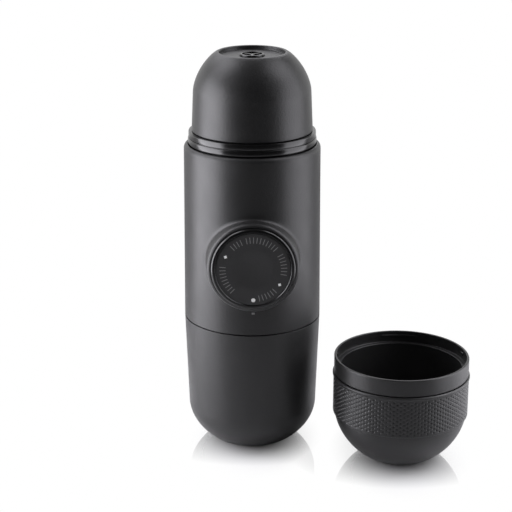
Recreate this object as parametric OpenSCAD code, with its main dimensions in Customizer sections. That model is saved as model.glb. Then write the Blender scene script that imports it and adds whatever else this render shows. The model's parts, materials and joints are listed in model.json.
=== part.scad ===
// Handheld manual espresso maker, standing on its water tank with the cup taken off and set beside it.
// Millimetres. The origin is the centre of the tank's flat foot, +Z points up and the pump knob faces -Y.

/* [Body] */
// Diameter of the main body
body_d = 58.5; // [56:0.1:62]
// Height of the main body's shell between the tank seam and its open top
body_h = 77.1; // [74:0.1:84]
// Wall of the main body's shell
body_wall = 2.0; // [1.6:0.1:2.2]
// Height of the rounded shoulder at the top of the shell
shoulder_h = 2.0; // [1:0.1:3]

/* [Water tank] */
// Height of the tank from its foot to the seam with the body
tank_h = 58.2; // [50:0.1:70]
// Wall of the water tank
tank_wall = 2.2; // [1.6:0.1:2.4]
// Radius of the flat foot that the tank stands on
tank_foot_r = 15.6; // [12:0.1:18]
// Height at which the straight taper turns into the rounded bottom
tank_turn_z = 18.0; // [14:0.1:24]
// How much narrower than the seam the tank is at that height, in radius
tank_taper = 1.4; // [0.8:0.1:2]
// Height of the threaded neck that goes up into the body
neck_h = 8.0; // [7:0.1:9]
// Rise of the tank thread for one turn
tank_pitch = 3.0; // [2.6:0.1:3.4]

/* [Neck collar] */
// Height that the glossy collar stands above the shell
collar_h = 5.7; // [5.2:0.1:7]
// Radial wall of the collar below its ridges
collar_wall = 1.95; // [1.8:0.05:2.1]
// How far the collar's lower ridge, which the cup snaps over, stands out
ridge_proud = 0.6; // [0.4:0.05:0.7]

/* [Outlet head] */
// Height of the head's slightly tapered side above the collar
head_side_h = 16.5; // [14:0.1:20]
// Height of the head's rounded top
head_dome_h = 16.9; // [14:0.1:20]
// How far the head's side stands out over its skirt
head_step = 1.5; // [1.3:0.05:1.7]
// How much narrower the head is where its rounded top begins, in radius
head_taper = 0.73; // [0.3:0.01:1.5]
// Radius of the crest that rings the outlet recess
crest_r = 15.2; // [14:0.1:17]
// Wall of the outlet head
head_wall = 2.2; // [1.8:0.1:2.6]
// Wall of the skirt that screws into the collar
skirt_wall = 1.7; // [1.5:0.1:2]
// Depth of the round recess in the head's top
recess_depth = 2.1; // [1:0.1:3]
// Outer diameter of the outlet nozzle
nozzle_d = 10.5; // [9:0.1:12]
// Wall of the outlet nozzle
nozzle_wall = 1.0; // [0.8:0.1:1.2]
// Height that the nozzle stands above the recess floor
nozzle_proud = 1.3; // [0.6:0.1:2]

/* [Filter basket] */
// Height of the basket with its rim
basket_h = 10.8; // [9:0.1:12]
// Wall of the basket
basket_wall = 0.6; // [0.5:0.1:1]
// How far the basket's rim stands out over its wall
basket_rim = 0.8; // [0.6:0.1:1]
// Rings of holes round the middle hole of a sieve
sieve_rings = 4; // [2:1:5]
// Diameter of one sieve hole
sieve_hole_d = 0.9; // [0.6:0.1:1.2]

/* [Pump knob] */
// Height of the knob's axis above the tank seam
knob_rise = 31.7; // [30.5:0.1:34]
// Diameter of the knob
knob_d = 35.3; // [34:0.1:36]
// Outer diameter of the round boss on the body's front
boss_d = 39.4; // [39:0.1:41]
// Distance that the boss stands in front of the body
boss_proud = 5.25; // [4:0.1:7]
// Distance that the locked knob stands in front of the boss
knob_proud = 1.5; // [0.8:0.1:2]
// Radius of the inset face disc of the knob
face_r = 15.65; // [14:0.05:16]
// Distance that the pump piston travels
stroke = 11.0; // [9:0.5:12]

/* [Pump] */
// Bore radius of the pump cylinder
bore_r = 8.0; // [7:0.1:9]
// Wall of the pump cylinder
pump_wall = 2.5; // [2:0.1:3]
// Radius of the piston rod
rod_r = 4.0; // [3.5:0.1:4.5]
// Wire diameter of the return spring
spring_wire = 1.4; // [1:0.1:1.6]
// Turns of the return spring
spring_turns = 6; // [5:0.5:7]
// Radius of a valve ball
ball_r = 2.5; // [2.2:0.1:2.7]

/* [Cup] */
// Distance of the standing cup's axis to the right of the body's axis
cup_x = 64.3; // [63:0.1:90]
// Distance of the standing cup's axis towards the front
cup_y = -22.2; // [-40:0.1:-10]
// Height of the cup
cup_h = 46.2; // [44:0.1:50]
// Height of the smooth rim band above the seam
rim_band_h = 7.7; // [6:0.1:9]
// Height of the textured grip band
grip_h = 18.3; // [14:0.1:20]
// Wall of the rim band round the mouth
rim_wall = 1.1; // [1:0.05:1.6]
// How far the grip band stands out over the rim band
grip_proud = 0.2; // [0.1:0.05:0.6]
// How far the bowl lies back under the grip band, in radius
bowl_step = 0.8; // [0.6:0.1:1.2]
// Radius of the cup's flat foot
cup_foot_r = 11.7; // [9:0.1:15]
// Depth of the wide mouth that fits over the collar
mouth_depth = 5.0; // [4.8:0.1:6]

/* [Hidden] */

$fn = 96;

// Colours
charcoal = "#3b3c3e";
gloss_black = "#161617";
dark_grey = "#2b2c2e";
pump_grey = "#5b5d60";
silicone = "#8f9496";
steel = "#b9bcc0";

// Clearances
slip = 0.3;
insert_gap = 0.35;
running = 0.05;
seat_gap = 0.1;
cut = 1;

// Main body
body_r = body_d / 2;
body_in_r = body_r - body_wall;
body_top = tank_h + body_h;
seam_bevel = 0.25;
seam_flare = 0.5;
flare_h = 70;
lip_flare = 0.35;
lip_r = body_in_r + lip_flare;
lip_h = 0.5;
insert_r = body_in_r - slip;
ledge_w = 2.05;
ledge_h = 1.2;
ledge_r = body_in_r - ledge_w;

// Water tank
tank_top_r = body_r + seam_flare;
tank_turn_r = tank_top_r - tank_taper;
tank_side_power = 1.62;
tank_rise_power = 0.96;
neck_step = 1.05;
neck_wall = 2.2;
neck_shoulder = 2;
neck_r = body_in_r - neck_step;
neck_in_r = neck_r - neck_wall;
neck_top = tank_h + neck_h;
thread_start = 1.6;
thread_turns = 1.5;
thread_root = 0.4;
thread_w = 1.3;
seal_h = 2.0;

// Pump block
block_bottom = neck_top + seal_h;
plate_h = 3.0;
pump_r = bore_r + pump_wall;
flange_face = 16.0;
flange_h = 2.5;
guide_h = 2.5;
rib_w = 3.0;
rib_l = 20.0;
rib_x = insert_r - 7;
duct_r = 6.0;
port_r = 1.5;
screw_boss_r = 3.0;
screw_boss_h = 8.0;
screw_hole_r = 1.3;
vent_x = 13;
vent_y = -11;
vent_hole_r = 1.5;

// Knob and piston, as distances in front of the body's axis
knob_z = tank_h + knob_rise;
knob_r = knob_d / 2;
boss_r = boss_d / 2;
boss_bore_r = knob_r + slip;
boss_face = body_r + boss_proud;
boss_round = 1.1;
boss_draft = 0.5;
boss_bevel = 0.4;
knob_front = boss_face + knob_proud;
knob_edge = 1.15;
knob_hold = 4.0;
knob_back = boss_face - stroke - knob_hold;
knob_wall = 1.75;
face_pocket = 1.2;
face_h = 0.9;
face_dish = 0.3;
front_plate = 2.0;
knob_inside = knob_front - face_pocket - front_plate;
web_h = 1.8;
hub_wall = 2.5;
hub_h = 8.8;
hub_r = rod_r + hub_wall;
hub_back = knob_inside - hub_h;
rod_sink = 4.5;
rod_front = knob_front - rod_sink;
piston_h = 8.0;
piston_gap = 0.7;
piston_r = bore_r - 0.2;
piston_face = flange_face - guide_h - piston_gap - stroke - piston_h;
seal_groove_r = bore_r - 1.6;
seal_groove_z = 2.5;
seal_groove_h = 2.6;
knob_screw_r = 1.5;
coil_r = pump_r + 2.7;

// Valves, in a duct just past the piston's inner end
duct_y = port_r + slip - piston_face;
pump_back = duct_y + port_r + 3.5;
valve_bore_r = ball_r + 1.1;
seat_h = 2.2;
seat_hole_r = 1.6;
ball_rise = sqrt(ball_r * ball_r - seat_hole_r * seat_hole_r) + seat_gap;
valve_wire = 0.4;
valve_coil_r = ball_r - 0.7;
valve_turns = 4;
coil_reach = ball_r + valve_wire / 2 + running;
coil_seat = sqrt(coil_reach * coil_reach - valve_coil_r * valve_coil_r) - valve_wire / 2;
valve_spring_h = 3.0;
valve_depth = seat_h + ball_rise + coil_seat + valve_spring_h;
outlet_gap = 5.0;
plug_h = 3.0;
inlet_z = block_bottom;
outlet_z = knob_z + bore_r + outlet_gap;

// Collar and head, from the shell inwards
collar_top = body_top + collar_h;
collar_foot = body_top + slip;
collar_r = body_in_r - insert_gap;
collar_bore_r = collar_r - collar_wall;
bead = 0.35;
bead_w = 1.2;
skirt_r = collar_bore_r - bead - slip;
skirt_in_r = skirt_r - skirt_wall;
skirt_h = 7.8;
head_base_r = skirt_r + head_step;
dome_r = head_base_r - head_taper;
dome_z = collar_top + head_side_h;
head_top = dome_z + head_dome_h;
recess_lip = 1.1;
recess_r = crest_r - recess_lip;
recess_z = head_top - recess_depth;
recess_bevel = 0.4;

// Basket and shower, from the collar's top down
basket_r = skirt_in_r - basket_rim - insert_gap - 0.05;
basket_sink = 1.0;
gasket_h = 2.0;
screen_h = 0.8;
basket_top = collar_top - basket_sink;
basket_z = basket_top - basket_h;
deck_z = basket_z - gasket_h - plate_h;
well_r = basket_r - 4.4;
well_bore_r = well_r + seat_gap;
screw_ring_r = (well_bore_r + ledge_r - slip) / 2;
screw_head_h = 1.3;
screw_sink = screw_head_h + seat_gap;
shower_screw_r = 1.5;

// Inside of the head
head_seal_h = 1.6;
funnel_z = basket_top + head_seal_h;
funnel_h = 2.2;
funnel_socket_h = 5.0;
filter_h = 0.8;
filter_pocket_r = basket_r - 0.8;
nozzle_r = nozzle_d / 2;
nozzle_in_r = nozzle_r - nozzle_wall;
nozzle_top = recess_z + nozzle_proud;
vane_h = 1.4;
vane_w = 0.8;
vane_sink = 1.2;
vane_hub_r = 1.1;

// Cup
cup_seam = cup_h - rim_band_h;
grip_z = cup_seam - grip_h;
cup_wall = 1.4;
cup_side_power = 1.27;
cup_rise_power = 1.22;
mouth_r = collar_r + ridge_proud + 0.5;
rim_r = mouth_r + rim_wall;
rim_round = 0.5;
grip_r = rim_r + grip_proud;
grip_lip = 0.35;
cup_in_r = head_base_r + slip;
liner_r = cup_in_r + cup_wall;
liner_floor = 4.0;
liner_under = liner_floor - cup_wall;
shell_floor = liner_under - seat_gap;
bowl_r = grip_r - bowl_step;
seam_gap = 0.3;
catch_proud = 0.35;
catch_z = cup_h - 1.7;
catch_h = 0.7;
catch_span = 30;
catch_start = 72;
nub_h = 1.4;
nub_span = 4;
nub_starts = [11, 165, 268];

// Points of a rounded bowl's outline, from its foot out and up to its side
function bowl(foot_r, side_r, low, high, side_power, rise_power, steps = 20) = [
    for (i = [0 : steps])
        let (a = 90 * (1 - i / steps))
        [foot_r + (side_r - foot_r) * pow(cos(a), side_power), high - (high - low) * pow(sin(a), rise_power)]
];

// Points of a dome's outline, from its side up and in to its crest
function dome(side_r, top_r, low, high, steps = 20) = [
    for (i = [0 : steps])
        let (a = 90 * (1 - i / steps))
        [top_r + (side_r - top_r) * pow(sin(a), 1.57), low + (high - low) * pow(cos(a), 1.18)]
];

// Points of a rounded ridge of a given width that stands out from radius r at height z
function ridge(r, proud, z, width, steps = 12) = [
    for (i = [0 : steps]) let (a = 180 * i / steps) [r + proud * pow(sin(a), 0.6), z - width / 2 * cos(a)]
];

// Corner points of ring i on a helix: the shape's points stand out along the radius and up the axis
function helix_ring(shape, r, angle, z) = [
    for (p = shape) [(r + p[0]) * cos(angle), (r + p[0]) * sin(angle), z + p[1]]
];

// Solid between closed rings of equal size, with both ends capped
module loft(rings) {
    n = len(rings[0]);
    m = len(rings);
    sides = [
        for (i = [0 : m - 2], j = [0 : n - 1])
            each [
                [i * n + j, i * n + (j + 1) % n, (i + 1) * n + (j + 1) % n],
                [i * n + j, (i + 1) * n + (j + 1) % n, (i + 1) * n + j]
            ]
    ];
    start = [[for (j = [n - 1 : -1 : 0]) j]];
    end = [[for (j = [0 : n - 1]) (m - 1) * n + j]];
    polyhedron(points = [for (ring = rings) each ring], faces = concat(start, sides, end));
}

// Height of a coil spring's wire after some turns: the end turns lie close, the rest share the length
function coil_z(turn, turns, wire, length) =
    let (close = wire * 1.08, open = (length - wire - 2 * close) / (turns - 2))
    turn < 1 ? wire / 2 + turn * close
        : turn < turns - 1 ? wire / 2 + close + (turn - 1) * open
        : length - wire / 2 - (turns - turn) * close;

// Coil spring with closed end turns, standing on z = 0
module coil_spring(r, wire, turns, length, sides = 6, steps = 18) {
    section = [for (k = [0 : sides - 1]) wire / 2 * [cos(360 * k / sides), sin(360 * k / sides)]];
    loft([for (i = [0 : turns * steps])
        helix_ring(section, r, 360 * i / steps, coil_z(i / steps, turns, wire, length))]);
}

// Ring with a square section
module ring(r, hole_r, h) {
    difference() {
        cylinder(r = r, h = h);
        translate([0, 0, -cut]) cylinder(r = hole_r, h = h + 2 * cut);
    }
}

// Holes of a sieve: rings of six more holes each round a middle one
module sieve_holes(reach, h) {
    translate([0, 0, -cut]) {
        cylinder(d = sieve_hole_d, h = h + 2 * cut, $fn = 16);
        for (i = [1 : sieve_rings], k = [0 : 6 * i - 1])
            rotate(60 * k / i) translate([reach * i / sieve_rings, 0, 0])
                cylinder(d = sieve_hole_d, h = h + 2 * cut, $fn = 16);
    }
}

// Moves children from the Z axis to the knob's axis, with their +Z towards the front
module on_knob_axis() {
    translate([0, 0, knob_z]) rotate([90, 0, 0]) children();
}

// Screw with a round head, standing on its point
module screw(r, length, head_r, head_h) {
    cylinder(r = r, h = length, $fn = 32);
    translate([0, 0, length]) difference() {
        cylinder(r = head_r, h = head_h, $fn = 48);
        translate([0, 0, head_h / 2]) cylinder(r = head_r * 0.5, h = head_h, $fn = 6);
    }
}

// Rounded water tank with a neck whose helical thread screws into the body
module water_tank() {
    color(charcoal) {
        difference() {
            rotate_extrude() polygon(concat(
                [[0, 0]],
                bowl(tank_foot_r, tank_turn_r, 0, tank_turn_z, tank_side_power, tank_rise_power),
                [[tank_top_r, tank_h - seam_bevel], [tank_top_r - seam_bevel, tank_h],
                 [neck_r, tank_h], [neck_r, neck_top], [0, neck_top]]
            ));
            rotate_extrude() polygon(concat(
                [[0, tank_wall]],
                bowl(tank_foot_r - tank_wall, tank_turn_r - tank_wall, tank_wall, tank_turn_z,
                     tank_side_power, tank_rise_power),
                [[tank_top_r - tank_wall, tank_h - tank_wall - neck_shoulder],
                 [neck_in_r, tank_h - tank_wall + neck_shoulder],
                 [neck_in_r, neck_top + cut], [0, neck_top + cut]]
            ));
        }
        neck_thread();
    }
}

// Trapezoid ridge that winds up the tank's neck
module neck_thread(steps = 32) {
    tip = neck_step - slip;
    section = [[-thread_root, -thread_w / 2], [tip, -thread_w / 4], [tip, thread_w / 4], [-thread_root, thread_w / 2]];
    loft([for (i = [0 : thread_turns * steps])
        helix_ring(section, neck_r, 360 * i / steps, tank_h + thread_start + tank_pitch * i / steps)]);
}

// Flat silicone ring between the tank's neck and the pump block
module tank_seal() {
    color(silicone) translate([0, 0, neck_top]) ring(neck_r - slip, neck_in_r + slip, seal_h);
}

// Outer shell with the round boss that the knob slides in
module body_shell() {
    color(charcoal) difference() {
        union() {
            rotate_extrude() polygon(concat(
                [[0, tank_h], [tank_top_r - seam_bevel, tank_h], [tank_top_r, tank_h + seam_bevel],
                 [body_r, tank_h + flare_h]],
                [for (a = [0 : 15 : 90])
                    [lip_r + (body_r - lip_r) * cos(a), body_top - shoulder_h * (1 - sin(a))]],
                [[0, body_top]]
            ));
            on_knob_axis() rotate_extrude() polygon(concat(
                [[0, 0], [boss_r + boss_draft, 0]],
                [for (a = [0 : 22.5 : 90])
                    [boss_r - boss_round * (1 - cos(a)), boss_face - boss_round * (1 - sin(a))]],
                [[0, boss_face]]
            ));
        }
        shell_hollow();
        on_knob_axis() cylinder(r = boss_bore_r, h = boss_face + cut);
        on_knob_axis() translate([0, 0, boss_face - boss_bevel])
            cylinder(r1 = boss_bore_r, r2 = boss_bore_r + boss_bevel, h = boss_bevel);
    }
}

// Space inside the shell, narrowed by the ledge that the collar clamps
module shell_hollow() {
    rotate_extrude() polygon([
        [0, tank_h - cut], [body_in_r, tank_h - cut], [body_in_r, deck_z], [ledge_r, deck_z],
        [ledge_r, deck_z + ledge_h], [body_in_r, deck_z + ledge_h], [body_in_r, body_top - lip_h],
        [lip_r, body_top], [lip_r, body_top + cut], [0, body_top + cut]
    ]);
}

// Pump block: two plates joined by ribs, the pump cylinder across and the two valve ducts
module pump_block() {
    height = deck_z - block_bottom;
    color(pump_grey) difference() {
        union() {
            for (z = [block_bottom, deck_z - plate_h]) translate([0, 0, z]) cylinder(r = insert_r, h = plate_h);
            on_knob_axis() translate([0, 0, -pump_back - pump_wall])
                cylinder(r = pump_r, h = flange_face + pump_back + pump_wall);
            on_knob_axis() translate([0, 0, flange_face - flange_h])
                cylinder(r = boss_bore_r - slip, h = flange_h);
            translate([0, duct_y, block_bottom]) cylinder(r = duct_r, h = height);
            for (side = [-1, 1]) translate([side * rib_x - rib_w / 2, -rib_l / 2, block_bottom])
                cube([rib_w, rib_l, height]);
            translate([-rib_x, -rib_w / 2, knob_z - rib_w / 2]) cube([2 * rib_x, rib_w, rib_w]);
            at_screws() translate([0, 0, -screw_boss_h]) cylinder(r = screw_boss_r, h = screw_boss_h);
        }
        on_knob_axis() translate([0, 0, -pump_back]) cylinder(r = bore_r, h = flange_face + pump_back + cut);
        translate([0, duct_y, block_bottom - cut]) cylinder(r = port_r, h = height);
        translate([0, duct_y, block_bottom - cut]) cylinder(r = valve_bore_r, h = valve_depth + cut);
        translate([0, duct_y, outlet_z]) cylinder(r = valve_bore_r, h = deck_z - outlet_z + cut);
        at_vent() translate([0, 0, -cut]) cylinder(r = vent_hole_r, h = plate_h + 2 * cut, $fn = 32);
        at_screws() translate([0, 0, -screw_boss_h + plate_h / 2])
            cylinder(r = screw_hole_r, h = screw_boss_h, $fn = 32);
        translate([0, 0, deck_z - plate_h * 0.75]) cylinder(r = shower_screw_r + seat_gap, h = plate_h, $fn = 32);
    }
}

// Moves children to the air valve's place under the bottom plate
module at_vent() {
    translate([vent_x, vent_y, block_bottom]) children();
}

// Moves children to the four screws that clamp the collar to the pump block
module at_screws() {
    for (k = [0 : 3]) rotate(90 * k + 45) translate([screw_ring_r, 0, deck_z]) children();
}

// Glossy collar: clamps the shell, holds the basket's well and carries the ridges the cup snaps over
module neck_collar() {
    step = (collar_top - collar_foot) / 2;
    color(gloss_black) difference() {
        rotate_extrude() polygon(concat(
            [[well_bore_r, deck_z], [ledge_r - slip, deck_z], [ledge_r - slip, deck_z + ledge_h],
             [collar_r, deck_z + ledge_h]],
            ridge(collar_r, ridge_proud, collar_foot + step / 2, step),
            ridge(collar_r, ridge_proud / 2, collar_foot + step * 1.5, step * 0.9),
            [[collar_bore_r, collar_top], [collar_bore_r, deck_z + plate_h], [well_bore_r, deck_z + plate_h]]
        ));
        at_screws() translate([0, 0, -cut]) cylinder(r = screw_hole_r + seat_gap, h = plate_h + 2 * cut, $fn = 32);
        at_screws() translate([0, 0, plate_h - screw_sink]) cylinder(r = 2.5, h = screw_sink + cut, $fn = 48);
    }
}

// Four screws through the collar's flange into the pump block
module collar_screws() {
    point = 1 - screw_boss_h + plate_h / 2;
    color(steel) at_screws() translate([0, 0, point])
        screw(screw_hole_r - running, plate_h - screw_sink - point, 2.3, screw_head_h);
}

// Perforated dish that keeps grit out of the inlet
module inlet_strainer() {
    strainer_r = 7.0;
    strainer_h = 1.0;
    floor_h = 0.4;
    color(steel) translate([0, duct_y, block_bottom - strainer_h]) difference() {
        cylinder(r = strainer_r, h = strainer_h);
        translate([0, 0, floor_h]) cylinder(r = strainer_r - 0.8, h = strainer_h);
        sieve_holes(strainer_r - 1.8, floor_h);
    }
}

// Silicone umbrella valve that lets air into the tank as water leaves it
module vent_valve() {
    cap_h = 0.9;
    stem_r = vent_hole_r - seat_gap;
    color(silicone) at_vent() {
        translate([0, 0, -cap_h]) cylinder(r = 3.6, h = cap_h);
        translate([0, 0, -cap_h / 2]) cylinder(r = stem_r, h = plate_h + cap_h);
        translate([0, 0, plate_h]) cylinder(r1 = vent_hole_r + 0.6, r2 = stem_r, h = 1.6);
    }
}

// Washer that a valve ball seats on
module valve_seat() {
    difference() {
        cylinder(r = valve_bore_r - seat_gap, h = seat_h);
        translate([0, 0, -cut]) cylinder(r = seat_hole_r, h = seat_h + 2 * cut);
    }
}

// Spring that sits on a valve ball
module valve_spring() {
    translate([0, 0, seat_h + ball_rise + coil_seat])
        coil_spring(valve_coil_r, valve_wire, valve_turns, valve_spring_h - seat_gap);
}

// Moves children to the bottom of the inlet or the outlet valve's bore
module in_valve(z) {
    translate([0, duct_y, z]) children();
}

// Seat of the inlet valve
module inlet_seat() {
    color(dark_grey) in_valve(inlet_z) valve_seat();
}

// Ball of the inlet valve, which lifts while the knob moves out
module inlet_ball() {
    color(steel) in_valve(inlet_z + seat_h + ball_rise) sphere(r = ball_r, $fn = 48);
}

// Spring that closes the inlet valve
module inlet_spring() {
    color(steel) in_valve(inlet_z) valve_spring();
}

// Seat of the outlet valve
module outlet_seat() {
    color(dark_grey) in_valve(outlet_z) valve_seat();
}

// Ball of the outlet valve, which lifts while the knob is pressed in
module outlet_ball() {
    color(steel) in_valve(outlet_z + seat_h + ball_rise) sphere(r = ball_r, $fn = 48);
}

// Spring that closes the outlet valve
module outlet_spring() {
    color(steel) in_valve(outlet_z) valve_spring();
}

// Plug that holds the outlet spring down and lets the water through
module outlet_plug() {
    color(dark_grey) in_valve(outlet_z + valve_depth) difference() {
        cylinder(r = valve_bore_r - seat_gap, h = plug_h);
        translate([0, 0, -cut]) cylinder(r = port_r, h = plug_h + 2 * cut);
    }
}

// Bush in the mouth of the pump cylinder that guides the rod
module rod_guide() {
    color(dark_grey) on_knob_axis() translate([0, 0, flange_face - guide_h])
        ring(bore_r - seat_gap, rod_r + running, guide_h);
}

// Return spring between the pump block's flange and the knob
module piston_spring() {
    color(steel) on_knob_axis() translate([0, 0, flange_face])
        coil_spring(coil_r, spring_wire, spring_turns, knob_inside - flange_face);
}

// Perforated disc that spreads the hot water over the coffee
module shower_screen() {
    color(steel) translate([0, 0, deck_z + plate_h - screen_h]) difference() {
        cylinder(r = well_r, h = screen_h);
        sieve_holes(well_r - 2.5, screen_h);
        translate([0, 0, -cut]) cylinder(r = shower_screw_r + seat_gap, h = screen_h + 2 * cut, $fn = 32);
    }
}

// Screw in the middle of the shower screen
module shower_screw() {
    point = deck_z - plate_h / 2;
    color(steel) translate([0, 0, point]) screw(shower_screw_r, deck_z + plate_h - point, 2.8, 1.0);
}

// Silicone ring that the basket stands on
module shower_gasket() {
    color(silicone) translate([0, 0, deck_z + plate_h]) ring(basket_r - seat_gap, well_r, gasket_h);
}

// Basket for the ground coffee, with a sieve in its floor
module filter_basket() {
    color(steel) translate([0, 0, basket_z]) difference() {
        union() {
            cylinder(r = basket_r, h = basket_h);
            translate([0, 0, basket_h - basket_rim]) cylinder(r = basket_r + basket_rim, h = basket_rim);
        }
        translate([0, 0, basket_wall]) cylinder(r = basket_r - basket_wall, h = basket_h);
        sieve_holes(well_r - 2.5, basket_wall);
    }
}

// Piston with the groove for its seal, and the rod that carries the knob
module piston_rod() {
    pilot_h = 9;
    color(dark_grey) on_knob_axis() difference() {
        union() {
            translate([0, 0, piston_face]) cylinder(r = piston_r, h = piston_h);
            translate([0, 0, piston_face]) cylinder(r = rod_r, h = rod_front - piston_face);
        }
        translate([0, 0, piston_face + seal_groove_z]) ring(bore_r + cut, seal_groove_r, seal_groove_h);
        translate([0, 0, rod_front - pilot_h]) cylinder(r = knob_screw_r + seat_gap, h = pilot_h + cut, $fn = 32);
    }
}

// Silicone ring in the piston's groove
module piston_seal() {
    color(silicone) on_knob_axis() translate([0, 0, piston_face + seal_groove_z + seat_gap])
        ring(bore_r - running, seal_groove_r + seat_gap, seal_groove_h - 2 * seat_gap);
}

// Screw that keeps the knob on the rod and lets it turn
module knob_screw() {
    grip = 8;
    color(steel) on_knob_axis() translate([0, 0, rod_front - grip])
        screw(knob_screw_r, grip + web_h + 2 * seat_gap, 3.0, 1.2);
}

// Knob: a round cap whose skirt slides in the boss and whose hub turns on the rod
module piston_knob() {
    color(gloss_black) on_knob_axis() difference() {
        rotate_extrude() polygon(concat(
            [[0, knob_back], [knob_r, knob_back]],
            [for (a = [0 : 22.5 : 90])
                [knob_r - knob_edge * (1 - cos(a)), knob_front - knob_edge * (1 - sin(a))]],
            [[0, knob_front]]
        ));
        translate([0, 0, knob_front - face_pocket]) cylinder(r = face_r + seat_gap, h = face_pocket + cut);
        translate([0, 0, knob_back - cut]) difference() {
            cylinder(r = knob_r - knob_wall, h = knob_inside - knob_back + cut);
            translate([0, 0, hub_back - knob_back + cut]) cylinder(r = hub_r, h = hub_h + cut);
        }
        translate([0, 0, hub_back - cut]) cylinder(r = rod_r + running, h = rod_front + seat_gap - hub_back + cut);
        translate([0, 0, rod_front]) cylinder(r = knob_screw_r + seat_gap, h = rod_sink, $fn = 32);
        translate([0, 0, rod_front + seat_gap + web_h]) cylinder(r = 3.4, h = rod_sink);
    }
}

// Inset disc that closes the knob's front, slightly dished for the thumb
module knob_face(steps = 8) {
    reach = face_r - 2;
    top = knob_front - face_pocket + face_h;
    color(dark_grey) on_knob_axis() rotate_extrude() polygon(concat(
        [[0, top - face_h], [face_r, top - face_h], [face_r, top]],
        [for (i = [steps : -1 : 0]) let (u = i / steps) [reach * u, top - face_dish * (1 - u * u)]]
    ));
}

// Silicone ring between the basket's rim and the head
module head_seal() {
    color(silicone) translate([0, 0, basket_top]) ring(skirt_in_r - slip, basket_r - 0.7, head_seal_h);
}

// Domed head that screws into the collar, with a round recess on top
module outlet_head() {
    skirt_foot = collar_top - skirt_h;
    base_z = collar_top + seat_gap;
    color(charcoal) difference() {
        rotate_extrude() polygon(concat(
            [[0, skirt_foot], [skirt_r, skirt_foot]],
            ridge(skirt_r, bead, skirt_foot + 2, bead_w),
            ridge(skirt_r, bead, skirt_foot + 5, bead_w),
            [[skirt_r, base_z], [head_base_r - seam_bevel, base_z], [head_base_r, base_z + seam_bevel]],
            dome(dome_r, crest_r, dome_z, head_top),
            [[recess_r + recess_bevel, head_top], [recess_r, head_top - recess_bevel],
             [recess_r, recess_z], [0, recess_z]]
        ));
        rotate_extrude() polygon(concat(
            [[0, skirt_foot - cut], [skirt_in_r, skirt_foot - cut], [skirt_in_r, funnel_z + funnel_h + 1],
             [dome_r - head_wall, funnel_z + funnel_h + 3]],
            dome(dome_r - head_wall, crest_r - head_wall, dome_z - 1, recess_z - head_wall),
            [[0, recess_z - head_wall]]
        ));
        translate([0, 0, recess_z - head_wall - cut]) cylinder(r = nozzle_r + seat_gap, h = head_wall + 2 * cut);
    }
}

// Plate with a rim and a socket that closes the head from below and leads the coffee to the nozzle
module spout_funnel() {
    color(dark_grey) translate([0, 0, funnel_z]) difference() {
        union() {
            cylinder(r = skirt_in_r - seat_gap, h = funnel_h);
            cylinder(r = nozzle_r + 2, h = funnel_h + funnel_socket_h);
        }
        translate([0, 0, -cut]) cylinder(r = filter_pocket_r, h = filter_h + 2 * seat_gap + cut);
        translate([0, 0, -cut]) cylinder(r = nozzle_in_r, h = funnel_h + 2 * cut);
        translate([0, 0, funnel_h]) cylinder(r = nozzle_r + seat_gap, h = funnel_socket_h + cut);
    }
}

// Outlet nozzle: a tube from the funnel to the recess, with three vanes round a hub in its mouth
module outlet_nozzle() {
    tube_z = funnel_z + funnel_h;
    color(gloss_black) {
        translate([0, 0, tube_z]) ring(nozzle_r, nozzle_in_r, nozzle_top - tube_z);
        translate([0, 0, nozzle_top - vane_sink - vane_h]) {
            cylinder(r = vane_hub_r, h = vane_h);
            for (k = [0 : 2]) rotate(120 * k + 30) translate([0, -vane_w / 2, 0])
                cube([nozzle_in_r + nozzle_wall / 2, vane_w, vane_h]);
        }
    }
}

// Perforated disc in the funnel's mouth that holds the coffee back
module head_filter() {
    filter_r = filter_pocket_r - seat_gap;
    color(steel) translate([0, 0, funnel_z + seat_gap]) difference() {
        cylinder(r = filter_r, h = filter_h);
        sieve_holes(filter_r - 3, filter_h);
    }
}

// Moves children to the cup's place beside the body
module at_cup() {
    translate([cup_x, cup_y, 0]) children();
}

// Rib that runs round part of the cup's mouth from a start angle
module catch_rib(start, span, height) {
    rotate(start) rotate_extrude(angle = span) translate([mouth_r - catch_proud, catch_z - height])
        square([catch_proud + rim_wall / 2, height]);
}

// Ribs and nubs inside the cup's mouth that catch under the collar's ridges
module cup_catches() {
    for (k = [0 : 2]) catch_rib(catch_start + 120 * k, catch_span, catch_h);
    for (start = nub_starts) catch_rib(start, nub_span, nub_h);
}

// Inner bowl of the cup with the smooth rim band
module cup_liner() {
    band_z = cup_seam + seam_gap;
    color(dark_grey) at_cup() {
        difference() {
            rotate_extrude() polygon(concat(
                [[0, liner_under]],
                bowl(cup_foot_r, liner_r, liner_under, grip_z, cup_side_power, cup_rise_power),
                [[liner_r, band_z], [rim_r - seam_gap, band_z], [rim_r, band_z + seam_gap]],
                [for (a = [0 : 30 : 90]) [rim_r - rim_round * (1 - cos(a)), cup_h - rim_round * (1 - sin(a))]],
                [[0, cup_h]]
            ));
            rotate_extrude() polygon(concat(
                [[0, liner_floor]],
                bowl(cup_foot_r - cup_wall, cup_in_r, liner_floor, grip_z, cup_side_power, cup_rise_power),
                [[cup_in_r, cup_h - mouth_depth], [mouth_r, cup_h - mouth_depth], [mouth_r, cup_h - seam_gap],
                 [mouth_r + seam_gap, cup_h], [mouth_r + seam_gap, cup_h + cut], [0, cup_h + cut]]
            ));
        }
        cup_catches();
    }
}

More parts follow.
